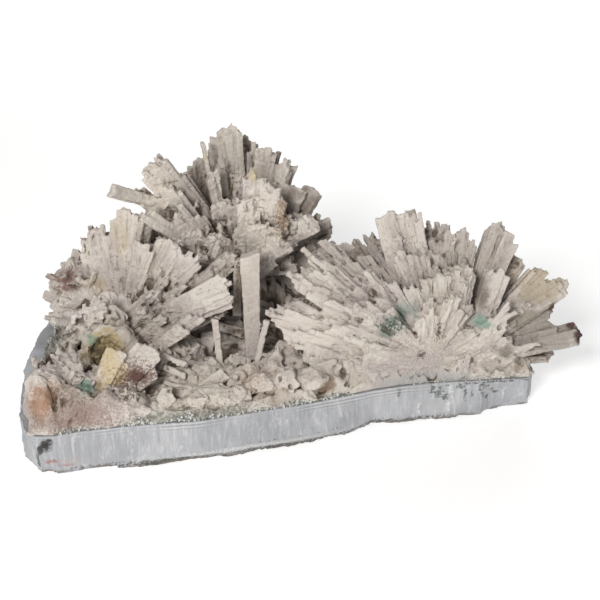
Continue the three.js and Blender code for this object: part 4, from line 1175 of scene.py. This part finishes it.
# The tall plates at the back and in the middle.
RIGHT_TALL = [
    ((59, 6, 122), (72, -6, 52), 25, 6, 0, 0.5),
    ((68, 14, 115), (88, -16, 42), 10, 6, -50),
    ((42, 18, 101), (82, -14, 42), 10, 5, 5),
    ((73, 2, 122), (89, -22, 44), 5, 5, 0),
    ((84, 16, 110), (92, -14, 44), 9, 6, 10),
    ((91, 12, 110), (93, -16, 44), 8, 6, -15),
    ((93, 2, 110), (93, -22, 46), 7, 5, 0),
    ((102, 6, 110), (95, -20, 46), 9, 6, 10),
    ((109, 4, 103), (98, -20, 46), 7, 5, 20),
    ((94, -22, 97), (92, -34, 42), 22, 8, 0),
    ((60, -8, 101), (86, -28, 44), 8, 6, 0),
    ((71, -12, 101), (88, -30, 44), 8, 6, 10),
    ((82, -14, 101), (91, -30, 44), 8, 6, 0),
    ((78, -22, 88), (90, -34, 42), 12, 6, 20),
    ((66, -24, 84), (88, -36, 42), 10, 6, -20),
    ((104, -18, 96), (96, -32, 42), 10, 6, 15),
]

# The blades that point to the left, over the hollow.
RIGHT_WEST = [
    ((50, -24, 86), (84, -36, 42), 13, 8, 0),
    ((31, -30, 78), (81, -38, 42), 14, 8, 0),
    ((19, -36, 68), (78, -40, 38), 13, 8, 0),
    ((0, -6, 100), (69, -28, 44), 6, 6, 0),
    ((8, -10, 99), (72, -30, 44), 6, 6, 0),
    ((11, 8, 100), (71, -20, 44), 11, 7, 0),
    ((32, 22, 92), (77, -10, 42), 16, 7, 0),
    ((30, -2, 89), (76, -26, 42), 11, 7, 0),
    ((42, 4, 91), (80, -22, 42), 10, 7, 10),
    ((-7, -18, 90), (63, -32, 42), 11, 9, 0),
    ((4, -10, 83), (66, -30, 40), 9, 8, 0),
    ((5, -24, 81), (69, -34, 40), 10, 7, 0),
    ((-21, -30, 69), (59, -38, 38), 15, 8, 0),
    ((-9, -36, 58), (62, -40, 34), 14, 9, 0),
    ((16, -20, 84), (74, -34, 42), 9, 7, 20),
    ((38, -14, 92), (80, -30, 44), 9, 6, -20),
    ((2, -44, 46), (48, -46, 32), 12, 8, 0),
]

# The broad plates that point to the right, past the end of the slab.
RIGHT_EAST = [
    ((126, 4, 115), (101, -22, 44), 12, 7, 0, 0.8),
    ((133, 0, 109), (103, -24, 44), 11, 7, 10, 0.8),
    ((123, -18, 94), (109, -30, 46), 15, 7, 0, 0.6),
    ((138, 4, 91), (104, -24, 42), 17, 5, 0, 0.4),
    ((154, -8, 88), (105, -28, 42), 16, 7, 10, 0.7),
    ((167, -10, 82), (106, -30, 40), 15, 8, 0, 0.6),
    ((148, -14, 77), (106, -32, 40), 12, 7, 0, 0.5),
    ((161, -10, 64), (108, -24, 36), 11, 8, 0, 0.5),
    ((156, -14, 57), (105, -32, 38), 15, 7, 0, 0.3),
    ((178, -18, 48), (106, -32, 36), 14, 9, 0, 0.3),
    ((154, -20, 41), (110, -26, 36), 9, 8, 0, 0.3),
    ((163, -14, 32), (114, -20, 31), 12, 8, 0, 0.5),
    ((156, -12, 28), (116, -18, 29), 9, 7, 0, 0.5),
    ((132, -20, 71), (107, -30, 42), 7, 6, 0),
    ((129, -26, 61), (104, -34, 40), 8, 7, 0),
    ((140, -22, 66), (106, -32, 40), 9, 6, 0),
    ((152, -34, 47), (127, -35, 42), 6, 5, 0, 0.4),
    ((130, -34, 77), (117, -35, 59), 4, 4, 0),
    ((134, -33, 71), (119, -34, 60), 3.5, 4, 0),
    ((129, -35, 63), (121, -36, 52), 4, 4, 0),
]

# The parts of the spray: name, blades, dense middle, seed, copies and setback of the fill, the crowd behind.
RIGHT_PARTS = [
    ("right_spray_tall", RIGHT_TALL, ((86, -8, 54), (32, 18, 32)), 300, 2, (0.1, 0.45),
     {"heart": (90, -16, 36), "count": 34, "heading": (20, 160), "rise": (10, 50), "reach": (56, 84)}),
    ("right_spray_west", RIGHT_WEST, ((44, -18, 46), (36, 16, 17)), 330, 3, (0.05, 0.4),
     {"heart": (72, -16, 36), "count": 16, "heading": (100, 175), "rise": (8, 45), "reach": (44, 70)}),
    ("right_spray_east", RIGHT_EAST, ((108, -14, 48), (24, 16, 24)), 360, 1, (0.4, 0.65),
     {"heart": (98, -16, 36), "count": 14, "heading": (10, 70), "rise": (8, 50), "reach": (44, 60)}),
]
for name, blades, core, seed, copies, shorten, behind in RIGHT_PARTS:
    spray(name, blades, RIGHT_HEART, [core], seed, copies, shorten, [behind])

# The saw went through the foot of this spray and left a flat face there: x and z along its top edge.
CUT_FACE = [
    (33, 27), (37, 30), (45, 34), (54, 38), (64, 41), (73, 45), (82, 50), (90, 54), (98, 56), (106, 55),
    (113, 53), (119, 50), (122, 44), (124, 37), (128, 32), (132, 29),
]
CUT_DEPTH, CUT_RECESS = 12, 2.4
CUT_HEART = (76, -38, 43)
FAN_MIDDLE, FAN_BLADES = (82, -37.5, 36), 42  # short blades that show in the cut
WALL_ROWS, WALL_STEP = 8, 2.0  # points up a sawn wall, and spacing along it
FAR_IN_FRONT = -300.0  # y of a wall's points before they are moved back to the saw cut


def sawn_wall(top_edge, depth, lean=0.0, recess=0.0):
    """A wall that stands on the slab behind the plane of the saw cut. It may lean back."""
    top_edge = np.array(top_edge, float)
    xs = np.arange(top_edge[0, 0], top_edge[-1, 0], WALL_STEP)
    highs = np.interp(xs, top_edge[:, 0], top_edge[:, 1])
    columns = []
    for x, high in zip(xs, highs):
        low = float(slab_top(x)) - 1
        zs = np.linspace(low, max(high, low + 2), WALL_ROWS)
        # points from far in front stop at the saw cut
        front = keep_in(np.column_stack([np.full(WALL_ROWS, x), np.full(WALL_ROWS, FAR_IN_FRONT), zs]), 0.1)
        front[:, 1] += recess + lean * (zs - low)
        columns.append(np.concatenate([front, front[::-1] + np.array([0, depth, 0])]))
    return ring_faces(columns)


def fan(heart, angles, reach, seed):
    """Short blades that spread in the plane of the cut from its middle."""
    rng = random_like(seed)
    made = []
    for angle in np.linspace(*angles, FAN_BLADES):
        turn = math.radians(angle + rng.normal(0, 4))
        foot = np.array(heart, float) + np.array([0, rng.uniform(0, 4), 0])
        far = rng.uniform(*reach)
        tip = foot + np.array([math.cos(turn), 0.2 * math.cos(turn), math.sin(turn)]) * far
        made.append((tip, foot, rng.uniform(4, 7), 8, 0))
    return made


# Holes in the cut: middle, radius, depth.
CUT_DENTS = [(CUT_HEART, 3.5, 3), ((127, -34, 42), 5.5, 7)]
cut_parts = [sawn_wall(CUT_FACE, CUT_DEPTH, recess=CUT_RECESS),
             sheaves(fan(FAN_MIDDLE, (-6, 186), (24, 50), 391), 392)]
grow("right_spray_cut", cut_parts, CUT_HEART, 393, grain=0.75, knob=0.2, grain_depth=0.14, pit=2.0,
     streak=0.5, lines=24, dents=CUT_DENTS)

# ---------------------------------------------------------------- left wall
# At the left end the saw went through the crust itself. Its face there is flat, leans back a little and shows
# rust, and on it stand a yellow plate and the foot of a pale one.

# x and z along the wall's top edge.
LEFT_FACE = [
    (-159, 48), (-157, 55), (-149, 57), (-142, 54), (-135, 50), (-127, 49), (-120, 46), (-112, 47),
    (-104, 46), (-98, 44), (-94, 36), (-92, 28),
]
LEFT_DEPTH, LEFT_LEAN = 16, 0.5
LEFT_HEART = (-118, -96, 12)
# Holes in the wall and bites out of its top: middle, radius, depth.
LEFT_DENTS = [
    ((-140, -99, 46), 4, 6), ((-122, -98, 40), 3, 2.5), ((-158, -88, 56), 8, 6), ((-92, -88, 39), 6, 6),
]
grow("left_wall", [sawn_wall(LEFT_FACE, LEFT_DEPTH, LEFT_LEAN)], LEFT_HEART, 395, grain=0.6, knob=1.2,
     streak=0.35, lines=12, grain_depth=0.6, pit=9, dents=LEFT_DENTS)

# ---------------------------------------------------------------- low sprays behind
# Low sprays of plain short blades on the crust behind the big ones and between them, of the same quartz. They
# grew like them and are fused with the crust.

LOW_CROWDS = [
    {"heart": (26, 42, 40), "count": 34, "heading": (0, 180), "rise": (8, 60), "reach": (28, 40)},
    {"heart": (-96, 60, 28), "count": 30, "heading": (30, 200), "rise": (12, 62), "reach": (28, 46)},
    {"heart": (62, 20, 34), "count": 16, "heading": (30, 160), "rise": (12, 60), "reach": (28, 44)},
]
LOW_HEART = (10, 44, 36)
LOW_CORES = [((30, 40, 58), (27, 15, 26)), ((6, 46, 56), (20, 13, 26))]
low_parts = [sheaves(crowd(seed=420 + n, **sector), 430 + n) for n, sector in enumerate(LOW_CROWDS)]
low_parts.append(cores(LOW_CORES, 440))
grow("low_sprays", low_parts, LOW_HEART, 441, grain=1.0)

# ---------------------------------------------------------------- columns
# Blades that stand or hang free in the hollow between the sprays: a thick smooth column and thinner ones, of
# the same quartz. Crust or a spray holds each at one end or at both.

COLUMNS = [
    ((-30, -17, 103), (-29.5, -20, 22), 12.5, 9, 0, 0.12),
    ((-39.5, -10, 56), (-39, -6, 94), 6, 6, 0),
    ((-52.5, -35, 67.5), (-49, -41, 24), 5, 5, 0),
    ((-33, -10, 42), (-54, -8, 48), 7, 6, 0),
    ((-20.5, -24, 60), (-27, -34, 35), 4.5, 4, 0),
    ((-59, -14, 44), (-62, -18, 22), 10, 6, 0),
    ((-37, -36, 40), (-40, -42, 24), 6, 4, 0),
]
COLUMN_HEART = (-40, 0, -400)  # far below, so that the ridges run up the columns
grow("columns", [sheaves(COLUMNS, 400, lath=6.5, ragged=0.3)], COLUMN_HEART, 410, grain=0.8, streak=0.3,
     knob=0.3, grain_depth=0.25)

# ---------------------------------------------------------------- rubble on the crust
# Knobs of crust, and laths that broke off the sprays and were cemented where they fell: over the front, over
# the left end and behind. They are of the same quartz, and one stone with the crust.

# Knobs of crust: x, y, height of the middle over the slab, radius.
LUMPS = [
    (-151, 28, 37, 12), (-151, 10, 25, 10), (-142, 24, 38, 12), (-130, -4, 28, 11), (-146, -4, 22, 10),
    (-121, -32, 38, 13), (-112, -40, 30, 10), (-134, -28, 31, 12), (-148, -36, 16, 11), (-142, -56, 18, 11),
    (-150, -20, 14, 9), (-156, -66, 10, 10), (-128, -52, 24, 9), (-144, 10, 30, 11), (-151, -80, 21, 10),
    (-137, -78, 21, 10), (-124, -78, 18, 9), (-156, -48, 10, 8), (-70, -20, 12, 8),
]

# The stained hollow behind the yellow plate, smoother than the rest: middle and half sizes.
LEFT_BOWL = [((-117, -47, 54), (17, 9, 15)), ((-124, -44, 48), (12, 9, 12))]

# Smoother lumps along the front: middle and half sizes.
FRONT_LUMPS = [
    ((-51, -72, 32), (16, 10, 9)), ((-38, -70, 32), (9, 8, 7)), ((-63, -77, 31), (9, 8, 8)),
    ((-23, -62, 37), (10.5, 9, 8)), ((-30, -54, 41), (6, 5, 5)), ((-10, -60, 39), (9, 8, 7)),
    ((-16, -53, 42), (7, 6, 5)), ((7, -55, 35), (13, 10, 8)), ((20, -54, 33), (8, 7, 6)),
    ((-67, -70, 34), (7, 7, 6)), ((-73, -80, 30), (8, 6, 5)), ((-42, -50, 35), (8, 8, 6)),
    ((-62, -50, 35), (10, 9, 7)), ((-76, -54, 35), (9, 9, 7)), ((-4, -42, 38), (10, 8, 7)),
    ((-29, -23, 30), (11, 8, 7.5)), ((-14, -34, 36), (10, 8, 8)),
]

# Broken laths that lie and stand among them, as blades.
FRONT_LATHS = [
    ((-45, -62, 43), (-61, -66, 34), 9, 5, 0), ((-77, -78, 42), (-88, -88, 27), 11, 4, 0, 1.1),
    ((-69, -58, 47), (-84, -51, 50.5), 4.2, 3.4, 0), ((-69, -63, 41), (-83, -57, 44.5), 4.2, 3.4, 0),
    ((-71, -68, 36), (-83, -64, 38.5), 4.2, 3.4, 0), ((-82, -80, 36), (-95, -84, 28), 7, 4, 0, 1.0),
    ((-58, -80, 38), (-64, -84, 27), 7, 5, 10), ((-12, -48, 50), (-22, -50, 38), 8, 4, 0),
    ((20, -50, 42), (4, -52, 38), 9, 5, 0), ((-90, -88, 36), (-97, -90, 27), 7, 6, 0),
]

# Clumps of short blades along the front: x, y, height over the slab, reach.
CLUMPS = [
    (-56, -50, 5, 10), (-18, -42, 8, 11), (16, -46, 10, 12), (26, -54, 4, 9), (-10, -30, 12, 13),
    (-62, -34, 8, 12), (-44, -34, 6, 10), (-82, -44, 12, 13), (-98, -84, 5, 9), (0, -62, 3, 9),
    (112, -33, 16, 10), (120, -32, 9, 11), (130, -29, 6, 10), (139, -27, 4, 9), (127, -24, 12, 10),
]

BURRS_PER_KNOB = 16
BLADES_PER_CLUMP = 6
FALLEN_SETBACK = 3  # how far fallen laths stay behind the saw cut

# Lumps and clumps on the crust behind the sprays: x, y, height over the slab, radius or reach.
REAR_LUMPS = [
    (-148, 52, 8, 11), (-128, 62, 10, 12), (-104, 76, 8, 11), (-80, 78, 12, 12), (-56, 80, 9, 11),
    (-28, 78, 12, 12), (-4, 74, 8, 11), (22, 68, 12, 12), (46, 64, 8, 10), (68, 54, 12, 12),
    (90, 46, 9, 11), (110, 32, 11, 11), (126, 14, 8, 10), (-140, 40, 20, 12), (-112, 58, 22, 12),
    (-64, 66, 24, 12), (50, 46, 24, 11), (92, 30, 24, 12),
]
REAR_CLUMPS = [
    (-136, 54, 16, 13), (-116, 72, 10, 12), (-92, 70, 18, 15), (-68, 84, 8, 11), (-44, 74, 18, 15),
    (-16, 80, 10, 13), (10, 66, 20, 15), (34, 70, 10, 13), (58, 60, 16, 14), (80, 56, 8, 12),
    (100, 42, 14, 13), (118, 26, 12, 12), (132, 4, 8, 10), (-150, 38, 14, 12), (76, 40, 24, 14),
    (28, 58, 26, 15),
]


def knobs(lumps, seed):
    """Uneven chunks that sit in the crust."""
    bodies = [((x, y, slab_top(x) + rise), (radius, radius * 0.95, radius * 0.85))
              for x, y, rise, radius in lumps]
    return cores(bodies, seed, 7, 10, (0.72, 1.1))


def burrs(lumps, seed):
    """Short stout crystals that stick out all over the knobs."""
    rng = random_like(seed)
    blades = []
    for x, y, rise, radius in lumps:
        middle = np.array([x, y, slab_top(x) + rise])
        for _ in range(BURRS_PER_KNOB):
            way = unit(rng.normal(0, 1, 3) + np.array([0, -0.3, 0.5]))
            tip = middle + way * radius * rng.uniform(0.92, 1.15)
            blades.append((tip, middle, rng.uniform(3, 6), rng.uniform(2.5, 4.5), rng.uniform(-90, 90)))
    return sheaves(blades, seed + 1, lath=3.5, ragged=0.7)


def clumps(places, seed):
    """Tufts of short stout blades that point up and outwards."""
    blades = []
    for number, (x, y, rise, reach) in enumerate(places):
        heart = (x, y, float(slab_top(x)) + rise - 4)
        reaches = (reach * 0.9, reach * 1.35)
        blades += crowd(heart, BLADES_PER_CLUMP, (150, 390), (5, 75), reaches, seed + number)
    return sheaves(blades, seed, lath=4, ragged=0.7)


def crust_surface(x, y):
    """Height of the crust's outer face at one place, from the floor."""
    x, y = np.array([x], float), np.array([y], float)
    inset = np.maximum(edge_distance(crust_outline(SAW_SETBACK), x, y), 0)
    return float((slab_top(x) + crust_height(x, y, inset))[0])


def fallen(count, sector_x, sector_y, seed):
    """Small laths and chips strewn over a part of the crust, half sunk in it."""
    rng = random_like(seed)
    laths, lumps = [], []
    outline = crust_outline(FALLEN_SETBACK)
    for _ in range(count):
        x, y = rng.uniform(*sector_x), rng.uniform(*sector_y)
        if edge_distance(outline, np.array([x]), np.array([y]))[0] < 1:
            continue
        z = crust_surface(x, y)
        if rng.random() < 0.6:
            turn, lift = rng.uniform(0, 2 * math.pi), rng.uniform(-0.1, 1.1)
            middle = np.array([x, y, z + 0.3])
            reach = pointing(turn, lift) * rng.uniform(3, 8)
            laths.append((middle + reach, middle - reach, rng.uniform(2.5, 6), rng.uniform(2, 3.4),
                          rng.uniform(-90, 90)))
        else:
            size = rng.uniform(1.8, 5)
            halves = (size, size * rng.uniform(0.7, 1), size * rng.uniform(0.6, 1))
            lumps.append(((x, y, z - size * 0.3), halves))
    return [sheaves(laths, seed + 1, lath=3, ragged=0.6), cores(lumps, seed + 2, 4, 6, (0.6, 1.15))]


# Holes between the knobs at the left end: middle, radius, depth.
LEFT_HOLES = [
    ((-141, -12, 66), 9, 10), ((-134, -34, 60), 8, 9), ((-158, -52, 44), 11, 11), ((-119, -60, 56), 10, 8),
    ((-151, -22, 50), 6, 5), ((-126, -44, 64), 5, 5), ((-119, -58, 56), 11, 6),
]
left_parts = [knobs(LUMPS, 500), burrs(LUMPS, 505), cores(LEFT_BOWL, 507, 9, 14, (0.88, 1.08))]
left_parts += fallen(70, (-172, -84), (-84, 50), 501)
grow("rubble_left", left_parts, NO_HEART, 510, grain=0.9, streak=0.1, knob=0.8, grain_depth=0.35, pit=8,
     dents=LEFT_HOLES)

front_parts = [cores(FRONT_LUMPS, 550, 9, 14, (0.84, 1.1)), sheaves(FRONT_LATHS, 551, lath=6, ragged=0.4),
               clumps(CLUMPS, 540)]
front_parts += fallen(36, (-100, 40), (-100, -6), 521)
grow("rubble_front", front_parts, NO_HEART, 530, grain=0.8, streak=0.1, knob=1.1, grain_depth=0.35, pit=9)

rear_parts = [knobs(REAR_LUMPS, 560), clumps(REAR_CLUMPS, 570)]
rear_parts += fallen(120, (-160, 146), (10, 96), 561)
grow("rubble_rear", rear_parts, NO_HEART, 580, grain=1.1, streak=0.1, knob=0.9, pit=6)

# ---------------------------------------------------------------- druse
# Tiny glassy grains of quartz, grey-green and white, along the line where the crust sits on the slab and over
# its rim. They grew last, on the open faces of both stones.

STRIP_STEP = 2.5  # spacing of points along a strip that carries grains
PATH_STEP = 3.0  # and along the path that it follows


def druse_tree():
    """Scatters small faceted grains over a surface."""
    tree = bpy.data.node_groups.new("druse", "GeometryNodeTree")
    tree.interface.new_socket("Geometry", in_out="INPUT", socket_type="NodeSocketGeometry")
    sockets = (("Grains per square metre", "NodeSocketFloat"), ("Smallest", "NodeSocketFloat"),
               ("Largest", "NodeSocketFloat"), ("Seed", "NodeSocketInt"), ("Stone", "NodeSocketMaterial"))
    for name, kind in sockets:
        tree.interface.new_socket(name, in_out="INPUT", socket_type=kind)
    tree.interface.new_socket("Geometry", in_out="OUTPUT", socket_type="NodeSocketGeometry")
    given = tree.nodes.new("NodeGroupInput").outputs
    result = tree.nodes.new("NodeGroupOutput")
    spots = add_node(tree, "GeometryNodeDistributePointsOnFaces", {}, Mesh=given["Geometry"],
                     Density=given["Grains per square metre"], Seed=given["Seed"])
    ball = add_node(tree, "GeometryNodeMeshIcoSphere", {}, Radius=1.0, Subdivisions=1)
    size = add_node(tree, "FunctionNodeRandomValue", {"data_type": "FLOAT"})
    tree.links.new(given["Smallest"], size.inputs[2])
    tree.links.new(given["Largest"], size.inputs[3])
    tree.links.new(given["Seed"], size.inputs["Seed"])
    turn = add_node(tree, "FunctionNodeRandomValue", {"data_type": "FLOAT_VECTOR"})
    turn.inputs[1].default_value = (math.tau, math.tau, math.tau)
    grains = add_node(tree, "GeometryNodeInstanceOnPoints", {}, Points=spots.outputs["Points"],
                      Instance=ball.outputs["Mesh"], Rotation=turn.outputs[0], Scale=size.outputs[1])
    real = add_node(tree, "GeometryNodeRealizeInstances", {}, Geometry=grains.outputs[0])
    stone = add_node(tree, "GeometryNodeSetMaterial", {}, Geometry=real.outputs[0], Material=given["Stone"])
    tree.links.new(stone.outputs[0], result.inputs["Geometry"])
    return tree


DRUSE = druse_tree()


def druse_stone():
    """Grey-green and white glassy grains."""
    material, tree, shader = new_material("druse")
    plain = place(tree)
    grains = noise(tree, plain, 480.0, 2, 0.6)
    patches = noise(tree, plain, 60.0, 3, 0.6)
    colour = blend_colours(tree, ramp(tree, grains, 0.40, 0.56),
                           (0.14, 0.155, 0.14, 1), (0.56, 0.56, 0.53, 1))
    colour = lay_over(tree, colour, ramp(tree, patches, 0.5, 0.65), 0.6, (0.50, 0.45, 0.39))
    finish_stone(tree, shader, colour, 0.45, noise(tree, plain, 1500.0, 2), 0.4, 0.0004)
    return material


DRUSE_STONE = druse_stone()


def druse(name, points, faces, density, sizes, seed):
    """Grains over a surface given by points and faces; the surface itself isn't kept."""
    ground = add_mesh(name, points, faces)
    modifier = ground.modifiers.new("druse", "NODES")
    modifier.node_group = DRUSE
    values = {"Grains per square metre": density, "Smallest": sizes[0] * 0.001, "Largest": sizes[1] * 0.001,
              "Seed": seed, "Stone": DRUSE_STONE}
    for item in DRUSE.interface.items_tree:
        if item.in_out == "INPUT" and item.name in values:
            modifier[item.identifier] = values[item.name]
    mesh = bpy.data.meshes.new_from_object(ground.evaluated_get(bpy.context.evaluated_depsgraph_get()))
    ground.modifiers.remove(modifier)
    ground.data = mesh
    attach(ground, "root")
    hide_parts("crystals")


def strip(path, low, high, seed):
    """A strip along a path of x, y over the slab's top, between two shifts in x, y, z. The upper one comes
    and goes along the path."""
    path = np.array(path, float)
    length = np.concatenate([[0], np.cumsum(np.hypot(*np.diff(path, axis=0).T))])
    along = np.arange(0, length[-1], STRIP_STEP)
    xs, ys = (np.interp(along, length, path[:, axis]) for axis in (0, 1))
    swing = 0.55 + 0.7 * value_noise(np.column_stack([along / 8, along * 0, along * 0]), seed)
    rows = []
    for (dx, dy, dz), share in ((low, 1), (high, np.clip(swing, 0.1, 1.2))):
        rows.append(np.column_stack([xs + dx, ys + dy, slab_top(xs) + dz * share]))
    count = len(xs)
    faces = [(i, i + 1, count + i + 1, count + i) for i in range(count - 1)]
    return np.concatenate(rows), faces


def sawn_path(from_x, to_x):
    """The part of the sawn front's top edge between two places."""
    xs = np.arange(from_x, to_x, PATH_STEP)
    ys = np.interp(xs, [x for x, _, _ in SAWN_FRONT], [y for _, y, _ in SAWN_FRONT])
    return np.column_stack([xs, ys])


# Where the grains lie along the front: name, from x, to x, how high over the slab's top, grains per square
# metre.
DRUSE_STRETCHES = [
    ("druse_left", -146, -108, 2.4, 400000), ("druse_front", -106, -30, 5.5, 900000),
    ("druse_middle", -28, 36, 3.2, 600000), ("druse_right", 40, 140, 1.2, 240000),
]
for number, (name, from_x, to_x, over, density) in enumerate(DRUSE_STRETCHES):
    points, faces = strip(sawn_path(from_x, to_x), (0, 0.9, 0.1), (0, 1.7, over), 640 + number)
    druse(name, points, faces, density, (0.35, 1.1), 5 + number)

# They climb the crust's flank at the left too.
FLANK_PATH = [(-157, 34), (-160, 22), (-160, -6), (-162.5, -36)]
points, faces = strip(FLANK_PATH, (-0.4, 0, 0.3), (2.2, 0, 17), 650)
druse("druse_flank", points, faces, 420000, (0.4, 1.2), 11)
